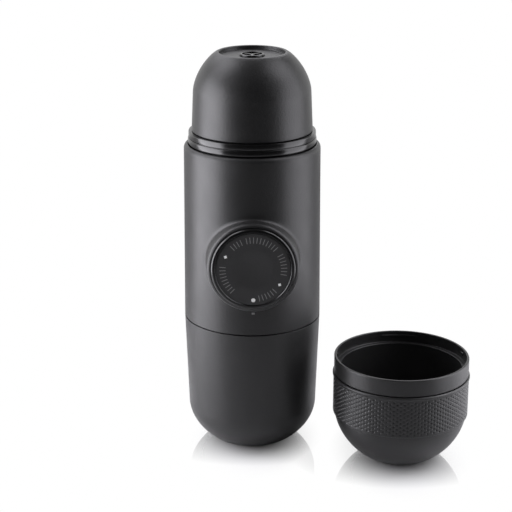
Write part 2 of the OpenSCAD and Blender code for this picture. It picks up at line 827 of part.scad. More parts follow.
// Outer bowl of the cup with the raised grip band below the seam
module cup_shell() {
    color(charcoal) at_cup() difference() {
        rotate_extrude() polygon(concat(
            [[0, 0]],
            bowl(cup_foot_r, bowl_r, 0, grip_z, cup_side_power, cup_rise_power),
            [[grip_r, grip_z + seam_gap], [grip_r, cup_seam - 5 * grip_lip],
             [grip_r + grip_lip, cup_seam - 3 * grip_lip], [grip_r + grip_lip, cup_seam - grip_lip],
             [grip_r, cup_seam], [0, cup_seam]]
        ));
        rotate_extrude() polygon(concat(
            [[0, shell_floor]],
            bowl(cup_foot_r + seam_gap, liner_r + seam_gap, shell_floor, grip_z, cup_side_power, cup_rise_power),
            [[liner_r + seam_gap, cup_seam + cut], [0, cup_seam + cut]]
        ));
    }
}

water_tank();
tank_seal();
body_shell();
pump_block();
neck_collar();
collar_screws();
inlet_strainer();
vent_valve();
inlet_seat();
inlet_ball();
inlet_spring();
outlet_seat();
outlet_ball();
outlet_spring();
outlet_plug();
rod_guide();
piston_spring();
shower_screen();
shower_screw();
shower_gasket();
filter_basket();
piston_rod();
piston_seal();
knob_screw();
piston_knob();
knob_face();
head_seal();
outlet_head();
spout_funnel();
outlet_nozzle();
head_filter();
cup_liner();
cup_shell();
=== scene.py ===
"""Looks of a handheld manual espresso maker: its moulded shells, knob, outlet, cup and finishes.

All sizes are in metres in the row frame: the origin is the centre of the tank's foot, +Z points up
and the pump knob faces -Y. Sizes that a user would change are properties in millimetres.
"""

import json
import math

import bpy
import numpy as np
from bpy.props import FloatProperty, FloatVectorProperty, IntProperty, PointerProperty
from mathutils import Euler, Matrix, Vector


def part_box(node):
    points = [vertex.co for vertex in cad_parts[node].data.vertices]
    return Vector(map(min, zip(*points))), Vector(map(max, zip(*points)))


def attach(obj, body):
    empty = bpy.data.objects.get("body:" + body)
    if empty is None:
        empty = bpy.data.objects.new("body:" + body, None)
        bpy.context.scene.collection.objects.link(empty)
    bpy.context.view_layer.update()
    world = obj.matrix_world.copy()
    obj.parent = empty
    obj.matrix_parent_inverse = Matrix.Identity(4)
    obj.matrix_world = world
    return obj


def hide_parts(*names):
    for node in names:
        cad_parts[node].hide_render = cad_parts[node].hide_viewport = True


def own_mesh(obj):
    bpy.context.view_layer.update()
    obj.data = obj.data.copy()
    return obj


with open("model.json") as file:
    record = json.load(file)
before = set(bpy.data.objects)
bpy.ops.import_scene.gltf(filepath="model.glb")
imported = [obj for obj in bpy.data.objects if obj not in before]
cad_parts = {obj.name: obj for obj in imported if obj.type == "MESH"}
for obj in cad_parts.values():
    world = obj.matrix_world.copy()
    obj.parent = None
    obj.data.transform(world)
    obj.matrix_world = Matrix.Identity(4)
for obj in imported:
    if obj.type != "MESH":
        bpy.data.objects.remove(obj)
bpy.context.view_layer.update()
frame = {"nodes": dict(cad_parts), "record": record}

bl_info = {
    "name": "Handheld Espresso Maker",
    "version": (1, 0, 0),
    "blender": (4, 5, 0),
    "location": "3D Viewport > Sidebar > Espresso",
    "description": "Builds the visible shells, knob, outlet and cup of a hand-pumped espresso maker",
    "category": "Object",
}

MM = 0.001
TURN = 2 * math.pi


def linear(hex_colour):
    """Linear RGBA of an sRGB hex colour such as "#2c2d2f"."""
    channels = np.array([int(hex_colour[i : i + 2], 16) / 255 for i in (1, 3, 5)])
    low, high = channels / 12.92, ((channels + 0.055) / 1.055) ** 2.4
    return (*np.where(channels <= 0.04045, low, high).tolist(), 1.0)


def node_box(name):
    """Lowest and highest corner of a CAD node, in millimetres."""
    low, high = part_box(name)
    return np.array(low) / MM, np.array(high) / MM


# ---------------------------------------------------------------- settings


def length(name, description, default, low, high):
    """A size in millimetres."""
    return FloatProperty(
        name=name, description=description, default=default, min=low, max=high, precision=2
    )


def colour(name, description, hex_colour):
    """A colour, written as sRGB hex."""
    return FloatVectorProperty(
        name=name, description=description, default=linear(hex_colour), size=4,
        subtype="COLOR", min=0, max=1,
    )


class TankSettings(bpy.types.PropertyGroup):
    """Sizes of the water tank."""

    wall: length("Wall", "Wall of the tank", 2.2, 1, 3)
    foot_radius: length("Foot radius", "Radius of the flat foot", 15.6, 10, 20)
    turn_height: length("Turn height", "Height where the rounded bottom meets the side", 18, 10, 30)
    taper: length("Taper", "How much narrower the tank is at that height", 1.4, 0, 3)
    seam_round: length("Seam rounding", "Rounding of the edge at the seam", 0.1, 0.05, 1)
    seam_gap: length("Seam gap", "Half the height of the dark groove at the seam", 0.28, 0.05, 0.5)
    neck: length("Neck radius", "Outer radius of the neck", 26.2, 24, 27)
    pitch: length("Thread pitch", "Rise of the thread for one turn", 3, 1, 5)


class BodySettings(bpy.types.PropertyGroup):
    """Sizes of the main body's shell."""

    wall: length("Wall", "Wall of the shell", 2, 1, 3)
    flare: length("Flare", "How much wider the shell is at the seam than at its top", 0.5, 0, 1)
    flare_height: length("Flare height", "Height above the seam where the flare ends", 70, 20, 75)
    shoulder: length("Shoulder", "Height of the rounded shoulder at the top", 2, 0.5, 4)
    edge: length("Edge rounding", "Rounding of the lower edge at the seam", 0.1, 0.05, 1)
    seam_gap: length("Seam gap", "Half the height of the dark groove at the seam", 0.28, 0.05, 0.5)
    boss: length("Boss", "Diameter of the boss below its bevel", 38.7, 38, 42)
    boss_front: length("Boss face", "Distance of the boss's face from the body's axis", 34.5, 32, 38)
    bevel: length("Boss bevel", "Width of the softly rounded bevel round the boss's face", 1.4, 0.2, 2)
    fillet: length("Boss fillet", "Hollow rounding where the boss leaves the shell", 1.5, 0.1, 2)
    mark: length("Index mark", "Width of the printed index mark below the boss", 1.3, 0.5, 3)


class SpringSettings(bpy.types.PropertyGroup):
    """Sizes of the two valve springs."""

    wire: length("Wire", "Diameter of the wire", 0.4, 0.2, 0.45)
    turns: IntProperty(
        name="Turns", description="Turns of a spring with its two closed end turns", default=4, min=3, max=5,
    )


class CollarSettings(bpy.types.PropertyGroup):
    """Sizes of the glossy collar."""

    wall: length("Wall", "Wall of the collar below its ridges", 1.95, 1, 3)
    ridge: length("Ridge", "How far the lower ridge stands out", 0.6, 0.1, 1)
    well: length("Well", "Radius of the well below the basket", 17.1, 12, 20)


class HeadSettings(bpy.types.PropertyGroup):
    """Sizes of the domed outlet head."""

    side_height: length("Side height", "Height of the nearly straight side", 16.5, 5, 25)
    crest_radius: length("Crest radius", "Radius of the crest round the recess", 14.9, 10, 20)
    recess_depth: length("Recess depth", "Depth of the round recess", 1.7, 0.5, 4)
    wall: length("Wall", "Wall of the head", 2.2, 1, 3)
    skirt: length("Skirt", "Radius of the skirt that screws into the collar", 24.3, 22, 25)
    nozzle_hole: length("Nozzle hole", "Radius of the hole for the nozzle", 5.35, 4, 7)


class KnobSettings(bpy.types.PropertyGroup):
    """Sizes of the pump knob and its printed marks."""

    edge: length("Edge rounding", "Rounding of the knob's front edge", 1.1, 0.2, 1.2)
    dish: length("Dish", "Depth of the finger dish in the face", 0.5, 0, 0.8)
    dish_radius: length("Dish radius", "Radius of the finger dish", 9, 4, 13)
    dot: length("Dot", "Diameter of the printed dot", 1.7, 0.5, 4)
    tick_length: length("Tick length", "Length of one printed tick", 2.6, 0.5, 3)
    tick_width: length("Tick width", "Width of one printed tick", 0.28, 0.1, 1)
    ring: length("Ring of marks", "Radius of the circle that the ticks stand on", 12.8, 8, 14)
    tick_step: FloatProperty(
        name="Tick step", description="Angle between two ticks", default=math.radians(6.5),
        min=math.radians(1), max=math.radians(30), subtype="ANGLE", unit="ROTATION",
    )


class CupSettings(bpy.types.PropertyGroup):
    """Sizes of the cup."""

    wall: length("Wall", "Wall of the bowl", 1.4, 0.8, 2)
    grip: length("Grip band", "Height of the dimpled band", 18.3, 10, 25)
    foot: length("Foot", "Radius of the flat foot", 11.7, 8, 16)
    bowl_step: length("Bowl step", "How far the bowl lies back under the grip band", 0.8, 0.6, 1.2)
    rim_round: length("Rim rounding", "Rounding of the rim's outer edge", 0.5, 0.1, 1)
    ledge_round: length("Ledge rounding", "Rounding of the grip band's lower edge", 0.4, 0.1, 0.5)
    dimple: length("Dimple", "Diameter of one dimple", 0.86, 0.4, 1.4)
    depth: length("Dimple depth", "Depth of one dimple", 0.32, 0.05, 0.5)
    columns: IntProperty(
        name="Columns", description="Columns of dimples round the cup, an even number",
        default=128, min=32, max=160, step=2,
    )


class FinishSettings(bpy.types.PropertyGroup):
    """Colours of the finishes."""

    charcoal: colour("Charcoal", "Grained plastic of the body, tank and head", "#1d1d1d")
    cup: colour("Cup", "Satin plastic of the cup", "#1f1f1f")
    black: colour("Gloss black", "Polished plastic of the collar, knob and nozzle", "#0d0d0d")
    face: colour("Knob face", "Matt plastic of the knob's face", "#292929")
    pump: colour("Pump plastic", "Plain plastic of the pump block", "#606265")
    silicone: colour("Silicone", "Seals and gaskets", "#93979a")
    ink: colour("Ink", "Printed dot and diamonds", "#f2f2ef")
    fine_ink: colour("Fine ink", "Fine printed ticks", "#7c7c7b")


def power(name, place, default):
    """The power of a soft box, in watts."""
    return FloatProperty(
        name=name, description=f"Power of the soft box {place} in watts", default=default, min=0, max=500
    )


class StageSettings(bpy.types.PropertyGroup):
    """Camera and light."""

    lens: FloatProperty(
        name="Lens", description="Focal length of the camera", default=105.47, min=20, max=300,
        unit="CAMERA",
    )
    left: power("Left light", "on the left", 1.1)
    right: power("Right light", "on the right", 0.45)
    rear: power("Rear light", "high behind", 1.9)
    top_left: power("Top left light", "high on the left", 1.15)
    top_right: power("Top right light", "high on the right", 1.2)


# ---------------------------------------------------------------- shapes


def bowl(foot, side, low, high, side_power, rise_power, steps=48):
    """Outline of a rounded bowl: r = foot + (side - foot) cos(a)^p, z = high - (high - low) sin(a)^q,
    for a from a right angle at the foot down to 0 at the side."""
    a = np.radians(np.linspace(90, 0, steps + 1))
    cosine, sine = np.clip(np.cos(a), 0, 1), np.clip(np.sin(a), 0, 1)
    return np.column_stack(
        [foot + (side - foot) * cosine**side_power, high - (high - low) * sine**rise_power]
    )


def dome(side, top, low, high, steps=48):
    """Outline of a dome: r = top + (side - top) sin(a)^1.57, z = low + (high - low) cos(a)^1.18,
    for a from a right angle at the side down to 0 at the crest."""
    a = np.radians(np.linspace(90, 0, steps + 1))
    cosine, sine = np.clip(np.cos(a), 0, 1), np.clip(np.sin(a), 0, 1)
    return np.column_stack([top + (side - top) * sine**1.57, low + (high - low) * cosine**1.18])


def ridge(radius, proud, z, width, steps=18):
    """Outline of a rounded ridge: r = radius + proud * sin(a)^0.6, z = middle - width / 2 * cos(a)."""
    a = np.radians(np.linspace(0, 180, steps + 1))
    return np.column_stack(
        [radius + proud * np.clip(np.sin(a), 0, 1) ** 0.6, z - width / 2 * np.cos(a)]
    )


def rounded(corners, closed=False, steps=6):
    """Outline through corners (r, z, radius): each corner with a radius becomes an arc that is tangent
    to both its sides, made as the turn of a circle about the point where the two offsets meet."""
    points = []
    count = len(corners)
    for i, (r, z, radius) in enumerate(corners):
        here = np.array([r, z])
        inside = closed or 0 < i < count - 1
        if radius <= 0 or not inside:
            points.append(here[None])
            continue
        before = np.array(corners[i - 1][:2]) - here
        after = np.array(corners[(i + 1) % count][:2]) - here
        before, after = before / np.linalg.norm(before), after / np.linalg.norm(after)
        half = math.acos(np.clip(before @ after, -1, 1)) / 2
        middle = (before + after) / np.linalg.norm(before + after)
        centre = here + middle * radius / math.sin(half)
        spoke_a = here + before * radius / math.tan(half) - centre
        spoke_b = here + after * radius / math.tan(half) - centre
        turn = math.pi - 2 * half
        t = np.linspace(0, 1, steps + 1)[:, None]
        swept = (np.sin((1 - t) * turn) * spoke_a + np.sin(t * turn) * spoke_b) / math.sin(turn)
        points.append(centre + swept)
    return np.vstack(points)


def refine(outline, step):
    """The outline with extra points on every stretch longer than step, so light runs evenly along it."""
    parts = []
    for a, b in zip(outline[:-1], outline[1:]):
        pieces = max(1, math.ceil(np.linalg.norm(b - a) / step))
        parts.append(a + (b - a) * np.linspace(0, 1, pieces, endpoint=False)[:, None])
    return np.vstack([*parts, outline[-1:]])


def grid_faces(rows, columns, wrap_rows=False, wrap_columns=True):
    """Quads between neighbouring points of a grid whose points are numbered row by row."""
    i = np.arange(rows if wrap_rows else rows - 1)[:, None]
    j = np.arange(columns if wrap_columns else columns - 1)[None, :]
    below, above = i % rows * columns, (i + 1) % rows * columns
    left, right = j % columns, (j + 1) % columns
    return np.stack([below + left, below + right, above + right, above + left], -1).reshape(-1, 4)


def lathe(outline, segments, closed=False, push=None):
    """Surface of revolution: (r cos u, r sin u, z) for each outline point (r, z) and angle u.
    push(u, r, z) adds to r where it is given, so that a pattern can stand out of the surface."""
    u = np.arange(segments) * TURN / segments
    r, z = np.meshgrid(outline[:, 0], u, indexing="ij")[0], np.repeat(outline[:, 1:2], segments, 1)
    angle = np.broadcast_to(u, r.shape)
    if push is not None:
        r = r + push(angle, r, z)
    points = np.stack([r * np.cos(angle), r * np.sin(angle), z], -1).reshape(-1, 3)
    return points, grid_faces(len(outline), segments, wrap_rows=closed)


def on_knob_axis(points):
    """Turns points made round Z, with +Z towards the front, onto the knob's axis: (x, -z, y + height)."""
    return np.column_stack([points[:, 0], -points[:, 2], points[:, 1] + KNOB_Z])


def disc(radius, low, high, sides=48):
    """A thin flat disc round Z, as a lathe."""
    return lathe(np.array([[0, low], [radius, low], [radius, high], [0, high]], float), sides)


def joined(parts):
    """One set of points and faces from several."""
    points, faces, offset = [], [], 0
    for p, f in parts:
        points.append(p)
        faces.append(f + offset)
        offset += len(p)
    return np.vstack(points), np.vstack(faces)


def welded(points, faces):
    """Points that lie in the same place become one, and faces that lose an edge become triangles or go."""
    keys = np.round(points / 1e-6).astype(np.int64)
    _, first, index = np.unique(keys, axis=0, return_index=True, return_inverse=True)
    faces = index.reshape(-1)[faces]
    same = faces == np.roll(faces, -1, axis=1)
    lost = same.sum(1)
    quads = faces[lost == 0].tolist()
    triangles = [np.delete(f, s.argmax()).tolist() for f, s in zip(faces[lost == 1], same[lost == 1])]
    return points[first], quads + triangles


def signed_volume(points, faces):
    """Sum over the faces of the tetrahedra that their triangles make with the origin."""
    total = 0.0
    for size in (3, 4):
        f = np.array([x for x in faces if len(x) == size], int).reshape(-1, size)
        for k in range(1, size - 1):
            a, b, c = points[f[:, 0]], points[f[:, k]], points[f[:, k + 1]]
            total += np.einsum("ij,ij->", a, np.cross(b, c)) / 6
    return total


def piece(name, shape, material, body, replaces=(), sharp=32):
    """A finished object from points in millimetres and faces: closed, its faces outwards, and smooth
    between edges sharper than the angle sharp, in degrees."""
    points, faces = welded(*shape)
    if signed_volume(points, faces) < 0:
        faces = [face[::-1] for face in faces]
    mesh = bpy.data.meshes.new(name)
    mesh.from_pydata((points * MM).tolist(), [], faces)
    mesh.polygons.foreach_set("use_smooth", np.ones(len(mesh.polygons), bool))
    mesh.set_sharp_from_angle(angle=math.radians(sharp))
    mesh.materials.append(material)
    mesh.update()
    made = bpy.data.objects.new(name, mesh)
    bpy.context.scene.collection.objects.link(made)
    even = made.modifiers.new("Even shading", "WEIGHTED_NORMAL")
    even.keep_sharp = True
    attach(made, body)
    if replaces:
        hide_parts(*replaces)
    return made


# ---------------------------------------------------------------- places, from the frame

TANK_HIGH = node_box("water_tank")[1]
SHELL_LOW, SHELL_HIGH = node_box("body_shell")
COLLAR_LOW, COLLAR_HIGH = node_box("neck_collar")
HEAD_LOW, HEAD_HIGH = node_box("outlet_head")
KNOB_LOW, KNOB_HIGH = node_box("piston_knob")
FACE_LOW, FACE_HIGH = node_box("knob_face")
NOZZLE_LOW, NOZZLE_HIGH = node_box("outlet_nozzle")
CUP_LOW, CUP_HIGH = node_box("cup_liner")
GRIP_LOW, GRIP_HIGH = node_box("cup_shell")

SEAM_Z = SHELL_LOW[2]
BODY_TOP = SHELL_HIGH[2]
KNOB_Z = (KNOB_LOW[2] + KNOB_HIGH[2]) / 2
CUP_X = (CUP_LOW[0] + CUP_HIGH[0]) / 2
CUP_Y = (CUP_LOW[1] + CUP_HIGH[1]) / 2
KNOB_FRONT, KNOB_BACK = -KNOB_LOW[1], -KNOB_HIGH[1]
KNOB_R = (KNOB_HIGH[0] - KNOB_LOW[0]) / 2
FACE_FRONT, FACE_BACK = -FACE_LOW[1], -FACE_HIGH[1]
FACE_R = (FACE_HIGH[0] - FACE_LOW[0]) / 2
# depth of the groove between the tank and the body
GROOVE = 0.9
# radii of the cup's mouth, of its inner wall and of the grip band, whose lip stands out of it
CUP_MOUTH_R = (CUP_HIGH[0] - CUP_LOW[0]) / 2 - 1.1
CUP_INSIDE_R = 26.1
GRIP_LIP = 0.35
GRIP_R = (GRIP_HIGH[0] - GRIP_LOW[0]) / 2 - GRIP_LIP
# powers of the rounded bottoms' curves, for the side and for the rise
TANK_CURVE = (1.62, 0.96)
CUP_CURVE = (1.27, 1.22)


# ---------------------------------------------------------------- finishes


def node(tree, kind, inputs=None, **settings):
    """Adds a shader node with its settings. An input is a value, or the socket that feeds it."""
    made = tree.nodes.new("ShaderNode" + kind)
    for key, value in settings.items():
        setattr(made, key, value)
    for key, value in (inputs or {}).items():
        if isinstance(value, bpy.types.NodeSocket):
            tree.links.new(value, made.inputs[key])
        else:
            made.inputs[key].default_value = value
    return made


def blank(name):
    """A material with no nodes yet."""
    material = bpy.data.materials.new(name)
    material.use_nodes = True
    material.node_tree.nodes.clear()
    return material


def speckled(name, tint, noises, value, rough, bump, **inputs):
    """A procedural finish in the object's own coordinates. noises holds name: (size in mm, inputs) or
    (size, inputs, stretch). value lists the noises that vary the tint's brightness, as (name, low, high)
    or (name, low, high, top), where top is the noise at high. rough is one such entry, or one roughness
    all over. bump is (name, relief in mm)."""
    material = blank(name)
    tree = material.node_tree
    place = node(tree, "TexCoord").outputs["Object"]
    fields = {}
    for key, (size, more, *stretch) in noises.items():
        vector = place
        if stretch:
            vector = node(tree, "Mapping", {"Vector": place, "Scale": stretch[0]}).outputs["Vector"]
        noise = node(tree, "TexNoise", {"Vector": vector, "Scale": 1000 / size, **more})
        fields[key] = noise.outputs["Fac"]
    varied = isinstance(rough, tuple)
    spread = [
        node(tree, "MapRange", {
            "Value": fields[key], "From Min": 0.3, "From Max": (*top, 0.7)[0],
            "To Min": low, "To Max": high,
        }).outputs["Result"]
        for key, low, high, *top in ([*value, rough] if varied else value)
    ]
    roughness = spread.pop() if varied else rough
    bright = spread[0]
    for factor in spread[1:]:
        bright = node(tree, "Math", {0: bright, 1: factor}, operation="MULTIPLY").outputs["Value"]
    colour = node(tree, "HueSaturation", {"Color": tint, "Value": bright})
    height, relief = bump
    raised = node(tree, "Bump", {"Height": fields[height], "Distance": relief * MM, "Strength": 1.0})
    shader = node(tree, "BsdfPrincipled", {
        "Base Color": colour.outputs["Color"], "Roughness": roughness, "Normal": raised.outputs["Normal"],
        **inputs,
    })
    node(tree, "OutputMaterial", {"Surface": shader.outputs["BSDF"]})
    return material


def moulded_plastic(name, tint, roughness, grain, relief, drift=0.05, ior=1.5):
    """Plastic from a spark-eroded mould. The grain breaks highlights into a fine sparkle, the pigment
    drifts slowly over 25 mm, and handling leaves slightly smoother patches 9 mm wide. The grain is about
    0.1 mm on the real one, drawn coarser so that it shows."""
    noises = {
        "pigment": (25, {"Detail": 3.0}),
        "grain": (grain, {"Detail": 2.0, "Roughness": 0.6}),
        "handling": (9, {"Detail": 4.0, "Roughness": 0.65}),
    }
    value = [("pigment", 1 - drift, 1 + drift), ("grain", 0.9, 1.1)]
    rough = ("handling", roughness - 0.035, roughness + 0.035)
    return speckled(name, tint, noises, value, rough, ("grain", relief), IOR=ior)


def polished_plastic(name, tint, roughness=0.2):
    """Black ABS from a polished mould: near-mirror highlights, softened by sink waves 7 mm long and some
    microns deep, by wiping haze in patches of 5 mm and by dust-sized specks of 0.4 mm."""
    noises = {
        "sink": (7, {"Detail": 1.0}),
        "haze": (5, {"Detail": 5.0, "Roughness": 0.7}),
        "specks": (0.4, {"Detail": 2.0}),
    }
    rough = ("haze", roughness - 0.03, roughness + 0.05)
    return speckled(name, tint, noises, [("specks", 0.9, 1.15)], rough, ("sink", 0.012), IOR=1.53)


def drawn_steel(name):
    """Stainless steel, drawn and tumbled: a grey metal with cloudy gloss and short fine scratches, 0.15 mm
    apart and some millimetres long."""
    noises = {"scratches": (1.8, {"Detail": 3.0}, (1, 1, 12)), "clouds": (4, {"Detail": 3.0})}
    value, rough = [("scratches", 0.9, 1.08)], ("clouds", 0.22, 0.34)
    return speckled(name, linear("#c3c5c8"), noises, value, rough, ("scratches", 0.004), Metallic=1.0)


def silicone_rubber(name, tint):
    """Translucent silicone, moulded matt: light sinks in a little, and dust clings to it."""
    noises = {"dust": (0.7, {"Detail": 4.0, "Roughness": 0.7})}
    value, rough = [("dust", 0.94, 1.1, 0.75)], ("dust", 0.42, 0.55)
    softness = {
        "IOR": 1.41, "Subsurface Weight": 0.2, "Subsurface Radius": (1.0, 0.9, 0.8),
        "Subsurface Scale": 0.8 * MM,
    }
    return speckled(name, tint, noises, value, rough, ("dust", 0.01), **softness)


def printed_ink(name, tint):
    """Pad-printed ink: a thin film, a little patchy where the grain below shows through."""
    noises = {"patches": (0.5, {"Detail": 3.0})}
    return speckled(name, tint, noises, [("patches", 0.82, 1.05)], 0.5, ("patches", 0.006), IOR=1.5)


def finish(name):
    """The material of that name, which the finishes operator made."""
    return bpy.data.materials[name]


# which finish each material slot of the record gets
SLOT_FINISH = {
    "charcoal_body": "grained_charcoal_abs",
    "gloss_black": "polished_black_abs",
    "dark_plastic": "matt_dark_abs",
    "cup_plastic": "satin_cup_plastic",
    "pump_plastic": "grey_polypropylene",
    "silicone": "moulded_silicone",
    "steel": "stainless_steel",
}


class FinishesOperator(bpy.types.Operator):
    """Makes the materials and gives every CAD node the one of its slot."""

    bl_idname = "espresso.finishes"
    bl_label = "Finishes"

    def execute(self, context):
        tints = context.scene.espresso.finish
        moulded_plastic("grained_charcoal_abs", tints.charcoal, 0.41, 0.75, 0.055)
        moulded_plastic("satin_cup_plastic", tints.cup, 0.36, 0.5, 0.01)
        moulded_plastic("matt_dark_abs", tints.face, 0.5, 0.5, 0.016)
        moulded_plastic("grey_polypropylene", tints.pump, 0.48, 0.8, 0.012, drift=0.09, ior=1.49)
        polished_plastic("polished_black_abs", tints.black)
        drawn_steel("stainless_steel")
        silicone_rubber("moulded_silicone", tints.silicone)
        printed_ink("pale_ink", tints.ink)
        printed_ink("grey_ink", tints.fine_ink)
        for part in frame["record"]["subparts"]:
            made = frame["nodes"][part["node"]]
            material = finish(SLOT_FINISH[part["material_slot"]])
            if not made.material_slots:
                made.data.materials.append(material)
            for place in made.material_slots:
                place.material = material
        return {"FINISHED"}


# ---------------------------------------------------------------- tank


def tank_outline(s):
    """Half section of the tank, from the middle of its foot round the outside, over the neck's top and
    down inside to the middle of its floor. Both rounded bottoms are bowls."""
    top = TANK_HIGH[0]
    side, inside = top - s.taper, top - s.taper - s.wall
    neck, bore = s.neck, s.neck - s.wall
    outside = rounded([
        (side, s.turn_height, 0), (top, SEAM_Z - s.seam_gap, s.seam_round),
        (top - GROOVE, SEAM_Z - s.seam_gap, 0), (top - GROOVE, SEAM_Z, 0), (neck, SEAM_Z, 0),
        (neck, TANK_HIGH[2], 0.3), (bore, TANK_HIGH[2], 0.3), (bore, SEAM_Z - 0.2, 1),
        (top - s.wall, SEAM_Z - s.wall - 2, 1), (inside, s.turn_height, 0),
    ])
    return refine(np.vstack([
        [[0, 0]],
        bowl(s.foot_radius, side, 0, s.turn_height, *TANK_CURVE),
        outside[1:-1],
        bowl(s.foot_radius - s.wall, inside, s.wall, s.turn_height, *TANK_CURVE)[::-1],
        [[0, s.wall]],
    ]), 2.5)


def thread(s):
    """Trapezoid carried along a helix: the point (neck + out, z) of the section stands at
    ((neck + out) cos u, (neck + out) sin u, start + pitch u / turn + z), and the section shrinks to a
    point over the first and last 25 degrees."""
    turns, start, tip, root, width = 1.5, 1.6, 0.75, -0.4, 1.3
    u = np.linspace(0, turns * TURN, 217)
    size = np.clip(np.minimum(u, turns * TURN - u) / math.radians(25), 0, 1)[:, None]
    out = root + (np.array([root, tip, tip, root]) - root) * size
    up = np.array([-0.5, -0.25, 0.25, 0.5]) * width * size
    r, z = s.neck + out, SEAM_Z + start + s.pitch * u[:, None] / TURN + up
    points = np.stack([r * np.cos(u)[:, None], r * np.sin(u)[:, None], z], -1).reshape(-1, 3)
    return points, grid_faces(len(u), 4)


class TankOperator(bpy.types.Operator):
    """Makes the rounded water tank and the thread on its neck."""

    bl_idname = "espresso.tank"
    bl_label = "Water tank"

    def execute(self, context):
        s = context.scene.espresso.tank
        charcoal = finish("grained_charcoal_abs")
        piece("tank_bowl", lathe(tank_outline(s), 192), charcoal, "tank", ["water_tank"])
        piece("tank_thread", thread(s), charcoal, "tank", sharp=50)
        return {"FINISHED"}


# ---------------------------------------------------------------- body shell


def shell_radius(s, z):
    """Outer radius of the body at a height: it narrows evenly from the seam up to the flare's height."""
    return TANK_HIGH[0] - s.flare * np.clip((z - SEAM_Z) / s.flare_height, 0, 1)


